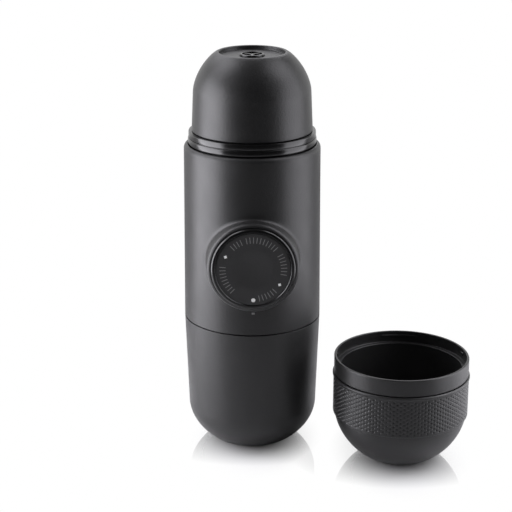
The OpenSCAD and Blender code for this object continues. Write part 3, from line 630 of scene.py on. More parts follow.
def shell(s):
    """The shell with its boss, in two grids that share their edges.

    The wall is a lathe whose outline runs up outside, over the shoulder and down inside, without its
    front patch. The patch is a grid of rings that run from the patch's edge to a circle, up a hollow
    fillet and the drafted side of the boss, over its rounded rim, in through the bore and back to the
    edge of the patch on the inner wall. A ring is (radius cos v, distance in front, radius sin v)."""
    segments, half = 144, 30
    # the front patch reaches 28 mm below and above the knob, and from 195 to 345 degrees round the body
    low, high, from_angle, to_angle = KNOB_Z - 27.9, KNOB_Z + 28.1, 195, 345
    heights = np.linspace(low, high, 2 * half + 1)
    outer, inner = TANK_HIGH[0] - s.flare, TANK_HIGH[0] - s.flare - s.wall
    edge_width = 0.35
    top_radius = inner + edge_width

    widest = shell_radius(s, SEAM_Z)
    below = rounded([
        (inner, SEAM_Z, 0), (widest - GROOVE, SEAM_Z, 0), (widest - GROOVE, SEAM_Z + s.seam_gap, 0),
        (widest, SEAM_Z + s.seam_gap, s.edge), (shell_radius(s, low), low, 0),
    ])
    below = refine(below, 1.2)[:-1]
    outside = np.column_stack([shell_radius(s, heights), heights])
    a = np.radians(np.linspace(0, 90, 13))
    shoulder = np.column_stack([
        top_radius + (outer - top_radius) * np.cos(a), BODY_TOP - s.shoulder * (1 - np.sin(a)),
    ])
    above = refine(np.vstack([outside[-1:], shoulder]), 1.2)[1:]
    # the shelf inside that the collar stands on
    deck, shelf = COLLAR_LOW[2], inner - 2.05
    lip = np.array([
        [inner, BODY_TOP - 0.5], [inner, deck + 1.2], [shelf, deck + 1.2], [shelf, deck], [inner, deck],
    ])
    inside = np.column_stack([np.full(len(heights), inner), heights[::-1]])
    outline = np.vstack([below, outside, above, lip, inside])
    points, faces = lathe(outline, segments, closed=True)

    step = 360 / segments
    first, last = round(from_angle / step), round(to_angle / step)
    row, column = np.divmod(np.arange(len(faces)), segments)
    starts = (len(below), len(outline) - len(inside))
    in_rows = np.any([(row >= s0) & (row < s0 + 2 * half) for s0 in starts], axis=0)
    faces = faces[~(in_rows & (column >= first) & (column < last))]

    # the patch's edge, from the middle of its right side up and round: angle on the body and height
    up, down = heights[half:], heights[: half + 1]
    across = np.arange(last, first - 1, -1) * TURN / segments
    right, left = across[0], across[-1]
    edge_angle = np.concatenate([
        np.full(half, right), across[:-1], np.full(2 * half, left), across[::-1][:-1], np.full(half, right),
    ])
    level = len(across) - 1
    edge_height = np.concatenate([
        up[:-1], np.full(level, high), heights[::-1][:-1], np.full(level, low), down[:-1],
    ])
    v = np.arange(len(edge_angle)) * TURN / len(edge_angle)

    def ring(radius, distance):
        distance = np.broadcast_to(distance, v.shape)
        return np.stack([radius * np.cos(v), -distance, KNOB_Z + radius * np.sin(v)], -1)

    def wall_distance(radius, wall):
        return np.sqrt(wall**2 - (radius * np.cos(v)) ** 2)

    def towards(radius, wall, share):
        """A ring on the wall, part of the way from the patch's edge to a circle. wall(z) is its radius."""
        z = KNOB_Z + radius * np.sin(v)
        angle = TURN - math.pi / 2 + np.arcsin(radius * np.cos(v) / wall(z))
        z, angle = edge_height + (z - edge_height) * share, edge_angle + (angle - edge_angle) * share
        return np.stack([wall(z) * np.cos(angle), wall(z) * np.sin(angle), z], -1)

    boss, front, draft = s.boss / 2, s.boss_front, 0.5
    bore, mouth = KNOB_R + 0.08, 0.05

    def side(distance):
        return boss + draft * (1 - distance / front)

    # over the wall to a circle a fillet wider than the boss, which leaves the wall about 25 mm out
    foot_side = side(25)
    circle = foot_side + s.fillet
    grids = [towards(circle, lambda z: shell_radius(s, z), t) for t in np.linspace(0, 1, 15)]
    # up the hollow fillet, a curve of the second degree between the wall and the boss's side
    root = wall_distance(foot_side, shell_radius(s, KNOB_Z))
    top = root + s.fillet
    foot, corner, rise = grids[-1], ring(side(root), root), ring(side(top), top)
    curve = np.linspace(0, 1, 8)[1:]
    grids += [(1 - t) ** 2 * foot + 2 * t * (1 - t) * corner + t**2 * rise for t in curve]
    # up the side to the bevel, which lies between its chord and a quarter circle
    climb = [top + (front - s.bevel - top) * t for t in np.linspace(0, 1, 7)[1:]]
    grids += [ring(side(distance), distance) for distance in climb]
    t = np.linspace(0, 1, 17)[1:]
    inwards = 0.3 * t + 0.7 * (1 - np.cos(t * math.pi / 2))
    back = 0.3 * (1 - t) + 0.7 * (1 - np.sin(t * math.pi / 2))
    grids += [ring(boss - s.bevel * x, front - s.bevel * y) for x, y in zip(inwards, back)]
    # in through the bore and back over the inner wall to the patch's edge
    grids += [ring(bore + mouth, front), ring(bore, front - mouth)]
    end = wall_distance(bore, inner)
    grids += [ring(bore, front - mouth + (end - front + mouth) * t) for t in np.linspace(0, 1, 8)[1:]]
    grids += [towards(bore, lambda z: np.full(len(z), inner), t) for t in np.linspace(1, 0, 9)[1:]]
    rings = np.stack(grids)
    return joined([(points, faces), (rings.reshape(-1, 3), grid_faces(len(rings), len(v)))])


def tablet(front, back):
    """A thin plate with four corners in front and the same four behind."""
    faces = np.array([[0, 1, 2, 3], [7, 6, 5, 4], [0, 4, 5, 1], [1, 5, 6, 2], [2, 6, 7, 3], [3, 7, 4, 0]])
    return np.vstack([front, back]), faces


def index_mark(s):
    """A short line printed on the body, from its foot to its head below the boss."""
    below, half_height = 21.6, 0.45
    x = s.mark / 2 * np.array([-1, 1, 1, -1])
    z = KNOB_Z - below + half_height * np.array([-1, -1, 1, 1])
    y = np.sqrt(shell_radius(s, z) ** 2 - x**2)
    return tablet(np.column_stack([x, -y - 0.02, z]), np.column_stack([x, -y + 0.3, z]))


class BodyOperator(bpy.types.Operator):
    """Makes the body's shell with the boss for the knob, and the mark below it."""

    bl_idname = "espresso.body"
    bl_label = "Body shell"

    def execute(self, context):
        s = context.scene.espresso.body
        piece("shell", shell(s), finish("grained_charcoal_abs"), "main", ["body_shell"])
        piece("index_mark", index_mark(s), finish("grey_ink"), "main")
        return {"FINISHED"}


# ---------------------------------------------------------------- valve springs


def coil(low, high, radius, wire, turns):
    """Spring round Z: each point of the wire's round section stands at (r cos u, r sin u, z) while the
    section's middle climbs with u, by little more than the wire over the first and the last turn."""
    u = np.linspace(0, turns * TURN, 30 * turns + 1)
    foot, head, close = low + wire / 2, high - wire / 2, 1.08 * wire
    climb = [foot, foot + close, head - close, head]
    middle = np.interp(u / TURN, [0, 1, turns - 1, turns], climb)[:, None]
    size = wire / 2 * np.clip(np.minimum(u, u[-1] - u) / math.radians(10), 0, 1)[:, None]
    v = np.arange(10) * TURN / 10
    r, z = radius + size * np.cos(v), middle + size * np.sin(v)
    points = np.stack([r * np.cos(u)[:, None], r * np.sin(u)[:, None], z], -1).reshape(-1, 3)
    return points, grid_faces(len(u), len(v))


class SpringOperator(bpy.types.Operator):
    """Makes the springs of the two valves, which flatten as their balls lift."""

    bl_idname = "espresso.springs"
    bl_label = "Valve springs"

    def execute(self, context):
        s = context.scene.espresso.springs
        for valve in ("inlet", "outlet"):
            low, high = node_box(valve + "_spring")
            x, y, _ = (low + high) / 2
            points, faces = coil(low[2], high[2], (high[0] - low[0] - s.wire) / 2, s.wire, s.turns)
            shape = points + [x, y, 0], faces
            steel, spring = finish("stainless_steel"), valve + "_spring"
            made = piece(valve + "_coil", shape, steel, "main", [spring], sharp=80)
            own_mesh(made)
        return {"FINISHED"}


# ---------------------------------------------------------------- collar and head


def collar_outline(s):
    """Half section of the collar: a flange, a wall with two rounded ridges outside and the well inside."""
    outer = COLLAR_HIGH[0] - s.ridge
    foot, top, deck = BODY_TOP + 0.3, COLLAR_HIGH[2], COLLAR_LOW[2]
    step = (top - foot) / 2
    bore, well, ledge, floor = outer - s.wall, s.well, outer - 2, deck + 3
    inside = rounded([
        (outer, top, 0), (bore, top, 0.3), (bore, floor, 0.6), (well, floor, 0.2), (well, deck, 0),
    ])
    return refine(np.vstack([
        [[well, deck], [ledge, deck], [ledge, deck + 1.2], [outer, deck + 1.2]],
        ridge(outer, s.ridge, foot + step / 2, step),
        ridge(outer, s.ridge / 2, foot + step * 1.5, step * 0.9),
        inside[1:-1],
    ]), 3)


def bored(made, centres, shapes):
    """Cuts round holes along Z: at each centre (x, y), one cylinder for each (radius, low, high)."""
    mesh = bpy.data.meshes.new("drill")
    parts = []
    for x, y in centres:
        for radius, low, high in shapes:
            points, faces = disc(radius, low, high, 40)
            parts.append((points + [x, y, 0], faces))
    points, faces = welded(*joined(parts))
    mesh.from_pydata((points * MM).tolist(), [], faces)
    drill = bpy.data.objects.new("drill", mesh)
    bpy.context.scene.collection.objects.link(drill)
    cut = made.modifiers.new("Holes", "BOOLEAN")
    cut.object, cut.operation, cut.solver = drill, "DIFFERENCE", "EXACT"
    made.modifiers.move(len(made.modifiers) - 1, 0)
    bpy.context.view_layer.update()
    bored_object = made.evaluated_get(bpy.context.evaluated_depsgraph_get())
    result = bpy.data.meshes.new_from_object(bored_object)
    made.modifiers.remove(cut)
    made.data = result
    bpy.data.objects.remove(drill)
    return made


def head_outline(s):
    """Half section of the outlet head: the skirt with its beads, the dome with the recess in its crest,
    and the same shape again inside, one wall further in."""
    top, recess = HEAD_HIGH[2], HEAD_HIGH[2] - s.recess_depth
    base, foot = COLLAR_HIGH[2] + 0.1, HEAD_LOW[2]
    radius = HEAD_HIGH[0]
    draft, skirt_wall, bead = 0.73, 1.7, 0.35
    dome_radius, dome_z = radius - draft, COLLAR_HIGH[2] + s.side_height
    skirt, skirt_in = s.skirt, s.skirt - skirt_wall
    floor, hole, inside = recess - s.wall, s.nozzle_hole, dome_radius - s.wall
    outer = rounded([(skirt, base, 0), (radius, base, 0.3), (dome_radius, dome_z, 0)])
    lip = rounded([
        (s.crest_radius, top, 0), (s.crest_radius - 0.9, top, 0.5), (s.crest_radius - 1.15, recess, 0.35),
        (hole, recess, 0.15), (hole, floor, 0.1), (s.crest_radius - s.wall, floor, 0),
    ])
    return refine(np.vstack([
        [[skirt_in, foot]],
        rounded([(skirt_in, foot, 0), (skirt, foot, 0.3), (skirt, foot + 1.3, 0)])[1:-1],
        ridge(skirt, bead, foot + 2, 1.2, 10), ridge(skirt, bead, foot + 5, 1.2, 10),
        outer[:-1],
        dome(dome_radius, s.crest_radius, dome_z, top),
        lip[1:-1],
        dome(inside, s.crest_radius - s.wall, dome_z - 1, floor, 24)[::-1],
        [[inside, base + 5.7], [skirt_in, base + 3.7]],
    ]), 2.5)


def nozzle():
    """A tube with rounded lips, and in its mouth a round hub with three flat vanes."""
    low, high, outer = NOZZLE_LOW[2], NOZZLE_HIGH[2], NOZZLE_HIGH[1]
    inner = outer - 1
    corners = [(inner, low, 0.15), (outer, low, 0.15), (outer, high, 0.75), (inner, high, 0.12)]
    tube = rounded(corners, closed=True)
    vane_top, vane_low = high - 0.2, high - 2.0
    hub = rounded([(0, vane_low, 0), (1.1, vane_low, 0.2), (1.1, vane_top, 0.35), (0, vane_top, 0)])
    parts = [lathe(refine(np.vstack([tube, tube[:1]]), 2.5)[:-1], 96, closed=True), lathe(hub, 32)]
    half, reach = 0.4, inner + 0.4
    for turn in (30, 150, 270):
        a = math.radians(turn)
        plan = np.array([(half, -half), (reach, -half), (reach, half), (half, half)])
        ends = plan @ [[math.cos(a), math.sin(a), 0], [-math.sin(a), math.cos(a), 0]]
        parts.append(tablet(ends + [0, 0, vane_top], ends + [0, 0, vane_low]))
    return joined(parts)


class CollarOperator(bpy.types.Operator):
    """Makes the polished collar with its two ridges and the holes for its screws."""

    bl_idname = "espresso.collar"
    bl_label = "Collar"

    def execute(self, context):
        s = context.scene.espresso.collar
        black = finish("polished_black_abs")
        made = piece("collar", lathe(collar_outline(s), 192), black, "main", ["neck_collar"])
        # the four screws stand on the diagonals
        head_radius, deck = 2.3, COLLAR_LOW[2]
        off = node_box("collar_screws")[1][0] - head_radius
        centres = [(off, off), (-off, off), (-off, -off), (off, -off)]
        bored(made, centres, [(1.4, deck - 1, deck + 2.5), (head_radius + 0.2, deck + 1.6, deck + 4)])
        return {"FINISHED"}


class HeadOperator(bpy.types.Operator):
    """Makes the domed outlet head and the nozzle in its recess."""

    bl_idname = "espresso.head"
    bl_label = "Outlet head"

    def execute(self, context):
        s = context.scene.espresso.head
        charcoal, black = finish("grained_charcoal_abs"), finish("polished_black_abs")
        shape = lathe(head_outline(s), 192, closed=True)
        piece("dome", shape, charcoal, "head", ["outlet_head"])
        piece("nozzle", nozzle(), black, "head", ["outlet_nozzle"])
        return {"FINISHED"}


# ---------------------------------------------------------------- knob


def knob_outline(s):
    """Half section of the knob round its own axis: skirt, rounded edge, pocket for the face and hub."""
    front, back, r = KNOB_FRONT, KNOB_BACK, KNOB_R
    play, skirt_wall = 0.1, 1.75
    pocket, floor, hub, inside = FACE_R + play, FACE_BACK, 6.5, r - skirt_wall
    # the screw's head and shank, and the rod's end below them
    head, shank, rod, shoulder, deep = 3.4, 1.6, 4.05, floor - 3.2, floor - 10.8
    return refine(rounded([
        (inside, back, 0.3), (r, back, 0.3), (r, front, s.edge), (pocket + 0.25, front, 0.12),
        (pocket, front - 0.28, 0.05), (pocket, floor, 0),
        (head, floor, 0.1), (head, floor - 1.4, 0), (shank, floor - 1.4, 0), (shank, shoulder, 0),
        (rod, shoulder, 0), (rod, deep, 0.2), (hub, deep, 0.3), (hub, floor - 2, 0.6),
        (inside, floor - 2, 0.6),
    ], closed=True, steps=10), 3)


def face_height(r, s):
    """How far in front the face lies: its rim less dish * (1 - (r / dish radius)^2)^1.5 inside the dish."""
    return FACE_FRONT - s.dish * np.clip(1 - (np.asarray(r) / s.dish_radius) ** 2, 0, 1) ** 1.5


def face_outline(s):
    """Half section of the knob's face: a flat back, a rounded rim and the dish."""
    r, front = np.linspace(s.dish_radius, 0, 25), FACE_FRONT
    edge = rounded([(0, FACE_BACK, 0), (FACE_R, FACE_BACK, 0), (FACE_R, front, 0.2), (r[0], front, 0)])
    return refine(np.vstack([edge[:-1], np.column_stack([r, face_height(r, s)])]), 1.5)


def face_mark(turn, corners, s):
    """A printed mark on the face: a tablet whose front follows the dish. Its corners (outwards, aside)
    are turned round the face's middle."""
    a = math.radians(turn)
    corners = np.array(corners) @ [[math.cos(a), math.sin(a)], [-math.sin(a), math.cos(a)]]
    height = face_height(np.linalg.norm(corners, axis=1), s)
    return tablet(np.column_stack([corners, height + 0.02]), np.column_stack([corners, height - 0.3]))


def face_marks(s):
    """A diamond on each side of the face and one dot at the bottom."""
    # the dot's distance from the middle, and half a diamond's diagonal
    low, size = s.ring + 0.6, 0.8
    diamond = [(s.ring - size, 0), (s.ring, -size), (s.ring + size, 0), (s.ring, size)]
    dot, faces = disc(s.dot / 2, FACE_FRONT - 0.4, float(face_height(low, s)) + 0.03)
    return joined([face_mark(154, diamond, s), face_mark(-31, diamond, s), (dot + [0, -low, 0], faces)])


def face_ticks(s):
    """Tick marks in five arcs round the face, evenly spaced, in degrees from its right side."""
    near, far, half = s.ring - s.tick_length / 2, s.ring + s.tick_length / 2, s.tick_width / 2
    bar = [(near, -half), (far, -half), (far, half), (near, half)]
    arcs = ((44, 104), (113, 137), (-10, 31), (175, 232), (-79, -46))
    turns = np.concatenate([np.arange(start, end, math.degrees(s.tick_step)) for start, end in arcs])
    return joined([face_mark(turn, bar, s) for turn in turns])


class KnobOperator(bpy.types.Operator):
    """Makes the pump knob, its inset face and the marks on it."""

    bl_idname = "espresso.knob"
    bl_label = "Pump knob"

    def execute(self, context):
        s = context.scene.espresso.knob
        black, matt = finish("polished_black_abs"), finish("matt_dark_abs")
        cap, face = lathe(knob_outline(s), 160, closed=True), lathe(face_outline(s), 160)
        for name, (points, faces), material, slot, replaced in (
            ("knob_cap", cap, black, "gloss_black", ["piston_knob"]),
            ("knob_disc", face, matt, "dark_plastic", ["knob_face"]),
            ("knob_marks", face_marks(s), finish("pale_ink"), "dark_plastic", []),
            ("knob_ticks", face_ticks(s), finish("grey_ink"), "dark_plastic", []),
        ):
            piece(name, (on_knob_axis(points), faces), material, "knob", replaced)
        return {"FINISHED"}


# ---------------------------------------------------------------- cup


def at_cup(shape):
    """Moves a shape made round Z to the cup's place."""
    return shape[0] + [CUP_X, CUP_Y, 0], shape[1]


def liner_outline(s):
    """Half section of the cup's inner bowl: outside from the middle up to the seam, the smooth rim band,
    the mouth with its ledge, and the inside back down to the middle."""
    rim, top = (CUP_HIGH[0] - CUP_LOW[0]) / 2, CUP_HIGH[2]
    seam, grip = GRIP_HIGH[2], GRIP_HIGH[2] - s.grip
    mouth, inside = CUP_MOUTH_R, CUP_INSIDE_R
    side, under, floor = inside + s.wall, CUP_LOW[2], CUP_LOW[2] + s.wall
    band = rounded([
        (side, grip, 0), (side, seam + 0.3, 0.1), (rim, seam + 0.3, 0.4), (rim, top, s.rim_round),
        (mouth, top, 0.3), (mouth, top - 5, 0.25), (inside, top - 5, 0.3), (inside, grip, 0),
    ])
    wall = band[1:-1]
    # more rows on the mouth's wall, for its catches
    on_mouth = np.abs(wall[:, 0] - mouth) < 1e-6
    start = np.flatnonzero(on_mouth[:-1] & on_mouth[1:])[0] + 1
    rows = np.linspace(top - 1.4, top - 3.4, 26)
    wall = np.vstack([wall[:start], np.column_stack([np.full(len(rows), mouth), rows]), wall[start:]])
    return refine(np.vstack([
        [[0, under]], bowl(s.foot, side, under, grip, *CUP_CURVE, 28), wall,
        bowl(s.foot - s.wall, inside, floor, grip, *CUP_CURVE, 32)[::-1], [[0, floor]],
    ]), 3)


def window(x, low, high, edge):
    """1 between low and high, 0 outside, with smooth edges: a product of two smooth steps."""
    up, down = np.clip((x - low) / edge + 0.5, 0, 1), np.clip((high - x) / edge + 0.5, 0, 1)
    return up * up * (3 - 2 * up) * down * down * (3 - 2 * down)


def catches(angle, r, z):
    """Ribs and nubs that stand inwards from the mouth's wall: three of each, spread round it."""
    proud, soft = 0.35, 0.16
    top, turn = CUP_HIGH[2], np.degrees(angle) % 360
    on_wall = (np.abs(r - CUP_MOUTH_R) < 0.005) & (z < top - 1) & (z > top - 4)
    ribs = sum(window(turn, a, a + 30, 1.2) for a in (72, 192, 312)) * window(z, top - 2.4, top - 1.7, soft)
    nubs = sum(window(turn, a, a + 4, 1.2) for a in (11, 165, 268)) * window(z, top - 3.1, top - 1.7, soft)
    return -proud * np.maximum(ribs, nubs) * on_wall


def grip_outline(s):
    """Half section of the cup's outer bowl: the rounded bottom, the band with its lip, and the inside."""
    r, outer = GRIP_R, GRIP_R + GRIP_LIP
    seam, grip = GRIP_HIGH[2], GRIP_HIGH[2] - s.grip
    inside, floor = CUP_INSIDE_R + s.wall + 0.3, 2.5
    band = np.linspace(grip + 0.7, seam - 1.6, 76)
    lip = rounded([
        (r, seam - 1.6, 0), (r, seam - 1.4, 0.15), (outer, seam - 0.95, 0.2), (outer, seam - 0.35, 0.2),
        (r, seam, 0.15), (inside, seam, 0.1), (inside, grip, 0),
    ], steps=3)
    side = r - s.bowl_step
    lower = rounded([(side, grip, 0), (r, grip, s.ledge_round), (r, grip + 0.6, 0)], steps=5)
    return np.vstack([
        [[0, 0]], bowl(s.foot, side, 0, grip, *CUP_CURVE, 26), lower[1:],
        np.column_stack([np.full(len(band), r), band]), lip[1:-1],
        bowl(s.foot + 0.3, inside, floor, grip, *CUP_CURVE, 14)[::-1], [[0, floor]],
    ])


def dimples(s):
    """Staggered round dimples on the grip band: each is depth * (1 - (d / radius)^2) deep at the
    distance d from the middle of its cell, in columns that alternate by half a pitch."""
    pitch, lines = 1.84, 9
    low, high = GRIP_HIGH[2] - s.grip + 1.4, GRIP_HIGH[2] - 2.2

    def push(angle, r, z):
        column = angle * s.columns / TURN
        nearest = np.round(column)
        across = (column - nearest) * TURN / s.columns * GRIP_R
        odd = nearest % 2
        start = low + odd * pitch / 2
        line = np.clip(np.round((z - start) / pitch), 0, lines - 1 - odd)
        off = z - start - line * pitch
        d2 = (across**2 + off**2) / (s.dimple / 2) ** 2
        on_band = (np.abs(r - GRIP_R) < 0.005) & (z > low - 1) & (z < high + 1)
        return -s.depth * np.clip(1 - d2, 0, 1) * on_band

    return push


class CupOperator(bpy.types.Operator):
    """Makes the cup: the inner bowl with its rim band, and the outer bowl with the dimpled grip."""

    bl_idname = "espresso.cup"
    bl_label = "Cup"

    def execute(self, context):
        s = context.scene.espresso.cup
        satin = finish("satin_cup_plastic")
        bowl_shape = at_cup(lathe(liner_outline(s), 360, push=catches))
        grip_shape = at_cup(lathe(grip_outline(s), 6 * s.columns, push=dimples(s)))
        piece("cup_bowl", bowl_shape, satin, "cup", ["cup_liner"], sharp=38)
        piece("cup_grip", grip_shape, satin, "cup", ["cup_shell"], sharp=60)
        return {"FINISHED"}


# ---------------------------------------------------------------- stage


def lamp(name, place, target, width, height, watts):
    """A soft box: a rectangular lamp that faces a point. Places and sizes are in metres."""
    light = bpy.data.lights.new(name, "AREA")
    light.shape, light.size, light.size_y, light.energy = "RECTANGLE", width, height, watts
    light.color = (0.985, 0.975, 1.03)
    made = bpy.data.objects.new(name, light)
    made.location = place
    made.rotation_euler = (Vector(target) - Vector(place)).to_track_quat("-Z", "Y").to_euler()
    bpy.context.scene.collection.objects.link(made)
    return made


def floor_material():
    """Glossy white laminate: it keeps the soft shadow and a faint reflection. Its colour, as the object sees
    it, holds painted shade, darker in front and behind than near the feet, while the camera sees white all
    over."""
    material = blank("white_laminate")
    tree = material.node_tree
    place = node(tree, "TexCoord").outputs["Object"]
    cloud = node(tree, "TexNoise", {"Vector": place, "Scale": 1000 / 60, "Detail": 3.0})
    rough = node(tree, "MapRange", {"Value": cloud.outputs["Fac"], "To Min": 0.13, "To Max": 0.19})
    camera = node(tree, "LightPath").outputs["Is Camera Ray"]
    depth = node(tree, "SeparateXYZ", {"Vector": place}).outputs["Y"]
    # painted shade: how pale the floor's colour is to the object, from half a metre in front of it to half a
    # metre behind
    along = node(tree, "MapRange", {"Value": depth, "From Min": -0.5, "From Max": 0.5})
    painted_shade_ramp = node(tree, "ValToRGB", {"Fac": along.outputs["Result"]})
    stops = painted_shade_ramp.color_ramp.elements
    # painted shade on the floor: pale near the feet, darker towards the front and behind
    for place_y, grey in ((-0.2, 0.52), (-0.09, 0.6), (0.02, 1.0), (0.05, 0.9), (0.15, 0.5)):
        stops.new(place_y + 0.5).color = (grey, grey, grey, 1)
    stops[0].color, stops[len(stops) - 1].color = (0.04, 0.04, 0.04, 1), (0.5, 0.5, 0.5, 1)
    # the camera sees the floor's full colour, without the painted shade
    level = node(tree, "Math", {0: painted_shade_ramp.outputs["Color"], 1: camera}, operation="MAXIMUM")
    colour = node(tree, "HueSaturation", {"Color": linear("#f2f2f2"), "Value": level.outputs["Value"]})
    shader = node(tree, "BsdfPrincipled", {
        "Base Color": colour.outputs["Color"], "Roughness": rough.outputs["Result"], "IOR": 1.5,
    })
    # distance from the nearer foot, with the depth counted less for the shadow and more for the image
    near = []
    for weight in (0.65, 1.4):
        scaled = node(tree, "VectorMath", {0: place, 1: (1, weight, 0)}, operation="MULTIPLY")
        flat = scaled.outputs["Vector"]
        tank = node(tree, "VectorMath", {0: flat}, operation="LENGTH")
        cup_foot = (CUP_X * MM, weight * CUP_Y * MM, 0)
        cup = node(tree, "VectorMath", {0: flat, 1: cup_foot}, operation="DISTANCE")
        away = node(tree, "Math", {0: tank.outputs["Value"], 1: cup.outputs["Value"]}, operation="MINIMUM")
        near.append(away.outputs["Value"])
    # away from the two feet the camera sees the white backdrop's level
    fade = node(tree, "MapRange", {
        "Value": near[0], "From Min": 0.008, "From Max": 0.032, "To Min": 0.0, "To Max": 1.0,
    }, interpolation_type="SMOOTHSTEP")
    seen = node(tree, "Math", {0: camera, 1: fade.outputs["Result"]}, operation="MULTIPLY")
    # and far behind, from 0.38 m on, the flat floor fades to a white glow that the object sees too
    sweep = node(tree, "MapRange", {
        "Value": depth, "From Min": 0.38, "From Max": 0.65, "To Min": 0.0, "To Max": 0.9,
    }, interpolation_type="SMOOTHSTEP")
    share = node(tree, "Math", {0: seen.outputs["Value"], 1: sweep.outputs["Result"]}, operation="MAXIMUM")
    white = node(tree, "Emission", {"Color": (1, 1, 1, 1), "Strength": 1.0})
    both = node(tree, "MixShader", {
        0: share.outputs["Value"], 1: shader.outputs["BSDF"], 2: white.outputs["Emission"],
    })
    # near them it also sees their clear mirror image, which fades outwards
    sheen = node(tree, "MapRange", {
        "Value": near[1], "From Min": 0.018, "From Max": 0.05, "To Min": 0.6, "To Max": 0.0,
    })
    clear = node(tree, "Math", {0: camera, 1: sheen.outputs["Result"]}, operation="MULTIPLY")
    mirror = node(tree, "BsdfPrincipled", {"Base Color": (1, 1, 1, 1), "Roughness": 0.0, "Metallic": 1.0})
    polished = node(tree, "MixShader", {
        0: clear.outputs["Value"], 1: both.outputs["Shader"], 2: mirror.outputs["BSDF"],
    })
    node(tree, "OutputMaterial", {"Surface": polished.outputs["Shader"]})
    return material


def studio_world():
    """A pale backdrop behind the object, a soft light overhead and a dim room in front. The camera sees
    white, also in the floor's sharp mirror image, whose rays are singular."""
    world = bpy.data.worlds.new("studio")
    world.use_nodes = True
    tree = world.node_tree
    tree.nodes.clear()
    way = node(tree, "SeparateXYZ", {"Vector": node(tree, "TexCoord").outputs["Generated"]})
    behind = node(tree, "MapRange", {
        "Value": way.outputs["Y"], "From Min": 0.1, "From Max": 0.7, "To Min": 0.03, "To Max": 1.0,
    }, interpolation_type="SMOOTHSTEP")
    low = node(tree, "MapRange", {
        "Value": way.outputs["Z"], "From Min": 0.3, "From Max": 0.5, "To Min": 1.0, "To Max": 0.25,
    }, interpolation_type="SMOOTHSTEP")
    behind, low = behind.outputs["Result"], low.outputs["Result"]
    behind = node(tree, "Math", {0: behind, 1: low}, operation="MULTIPLY")
    overhead = node(tree, "MapRange", {
        "Value": way.outputs["Z"], "From Min": 0.55, "From Max": 0.98, "To Min": 0.0, "To Max": 0.12,
    }, interpolation_type="SMOOTHSTEP")
    level = node(tree, "Math", {0: behind.outputs["Value"], 1: overhead.outputs["Result"]}, operation="ADD")
    path = node(tree, "LightPath")
    for ray in ("Is Camera Ray", "Is Singular Ray"):
        level = node(tree, "Math", {0: level.outputs["Value"], 1: path.outputs[ray]}, operation="MAXIMUM")
    back = node(tree, "Background", {"Color": (1, 1, 1, 1), "Strength": level.outputs["Value"]})
    node(tree, "OutputWorld", {"Surface": back.outputs["Background"]})
    return world


class StageOperator(bpy.types.Operator):
    """Makes the pale floor, the soft light and the camera."""

    bl_idname = "espresso.stage"
    bl_label = "Stage"

    def execute(self, context):
        s = context.scene.espresso.stage
        mesh, reach = bpy.data.meshes.new("floor"), 4
        corners = [(-reach, -reach, 0), (reach, -reach, 0), (reach, reach, 0), (-reach, reach, 0)]
        mesh.from_pydata(corners, [], [(0, 1, 2, 3)])
        mesh.materials.append(floor_material())
        floor = bpy.data.objects.new("floor", mesh)
        context.scene.collection.objects.link(floor)
        context.scene.world = studio_world()
        lamp("left_soft_box", (-0.22, -0.05, 0.13), (0, -0.05, 0.13), 0.22, 0.26, s.left)
        lamp("right_soft_box", (0.22, -0.045, 0.13), (0, -0.045, 0.13), 0.2, 0.26, s.right)
        lamp("rear_soft_box", (-0.08, 0.38, 0.56), (0, 0, 0.16), 0.7, 0.3, s.rear)
        lamp("top_left_soft_box", (-0.32, 0.04, 0.55), (0, 0, 0.16), 0.28, 0.32, s.top_left)
        lamp("top_right_soft_box", (0.36, 0, 0.53), (0, 0, 0.16), 0.35, 0.35, s.top_right)
        # the camera stands where the fit to the photograph puts it
        camera = bpy.data.cameras.new("camera")
        camera.lens = s.lens
        made = bpy.data.objects.new("camera", camera)
        made.location = (-0.00708, -0.6230, 0.2925)
        made.rotation_euler = Euler((math.radians(71.5), 0, math.radians(-0.8)))
        context.scene.collection.objects.link(made)
        context.scene.camera = made
        context.scene.view_settings.view_transform = "Standard"
        return {"FINISHED"}


# ---------------------------------------------------------------- add-on


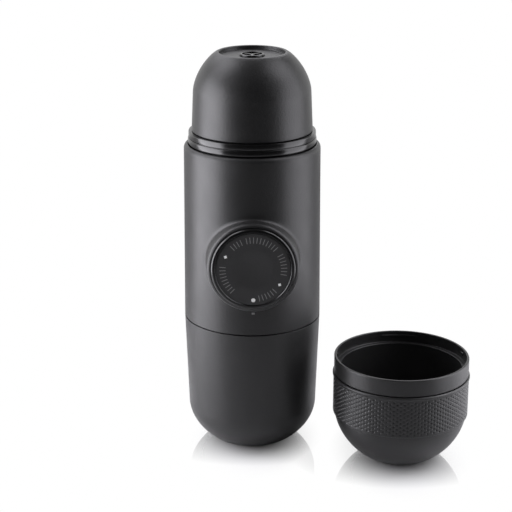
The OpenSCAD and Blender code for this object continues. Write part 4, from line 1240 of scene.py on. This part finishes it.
class EspressoSettings(bpy.types.PropertyGroup):
    """All the settings of the espresso maker."""

    tank: PointerProperty(type=TankSettings, name="Tank", description="Sizes of the water tank")
    body: PointerProperty(type=BodySettings, name="Body", description="Sizes of the body's shell")
    springs: PointerProperty(type=SpringSettings, name="Springs", description="Sizes of the valve springs")
    collar: PointerProperty(type=CollarSettings, name="Collar", description="Sizes of the collar")
    head: PointerProperty(type=HeadSettings, name="Head", description="Sizes of the outlet head")
    knob: PointerProperty(type=KnobSettings, name="Knob", description="Sizes of the pump knob")
    cup: PointerProperty(type=CupSettings, name="Cup", description="Sizes of the cup")
    finish: PointerProperty(type=FinishSettings, name="Finish", description="Colours of the finishes")
    stage: PointerProperty(type=StageSettings, name="Stage", description="Camera and light")


OPERATORS = (
    FinishesOperator, TankOperator, BodyOperator, SpringOperator, CollarOperator, HeadOperator, KnobOperator,
    CupOperator, StageOperator,
)


class EspressoPanel(bpy.types.Panel):
    """Lists the pieces of the espresso maker and their settings."""

    bl_idname = "VIEW3D_PT_espresso"
    bl_label = "Espresso maker"
    bl_space_type = "VIEW_3D"
    bl_region_type = "UI"
    bl_category = "Espresso"

    def draw(self, context):
        settings = context.scene.espresso
        for operator in OPERATORS:
            self.layout.operator(operator.bl_idname)
        for name in settings.bl_rna.properties.keys():
            group = getattr(settings, name)
            if not isinstance(group, bpy.types.PropertyGroup):
                continue
            box = self.layout.box()
            box.label(text=settings.bl_rna.properties[name].name)
            for field in type(group).__annotations__:
                box.prop(group, field)


CLASSES = (
    TankSettings, BodySettings, SpringSettings, CollarSettings, HeadSettings, KnobSettings, CupSettings,
    FinishSettings, StageSettings, EspressoSettings, *OPERATORS, EspressoPanel,
)


def register():
    """Adds the settings, operators and panel to Blender."""
    for each in CLASSES:
        bpy.utils.register_class(each)
    bpy.types.Scene.espresso = PointerProperty(type=EspressoSettings)


def unregister():
    """Takes the settings, operators and panel out again."""
    del bpy.types.Scene.espresso
    for each in reversed(CLASSES):
        bpy.utils.unregister_class(each)


def main():
    """Builds every piece and the stage."""
    register()
    bpy.ops.espresso.finishes()
    bpy.ops.espresso.tank()
    bpy.ops.espresso.body()
    bpy.ops.espresso.springs()
    bpy.ops.espresso.collar()
    bpy.ops.espresso.head()
    bpy.ops.espresso.knob()
    bpy.ops.espresso.cup()
    bpy.ops.espresso.stage()
    bpy.context.view_layer.update()


if __name__ == "__main__":
    main()
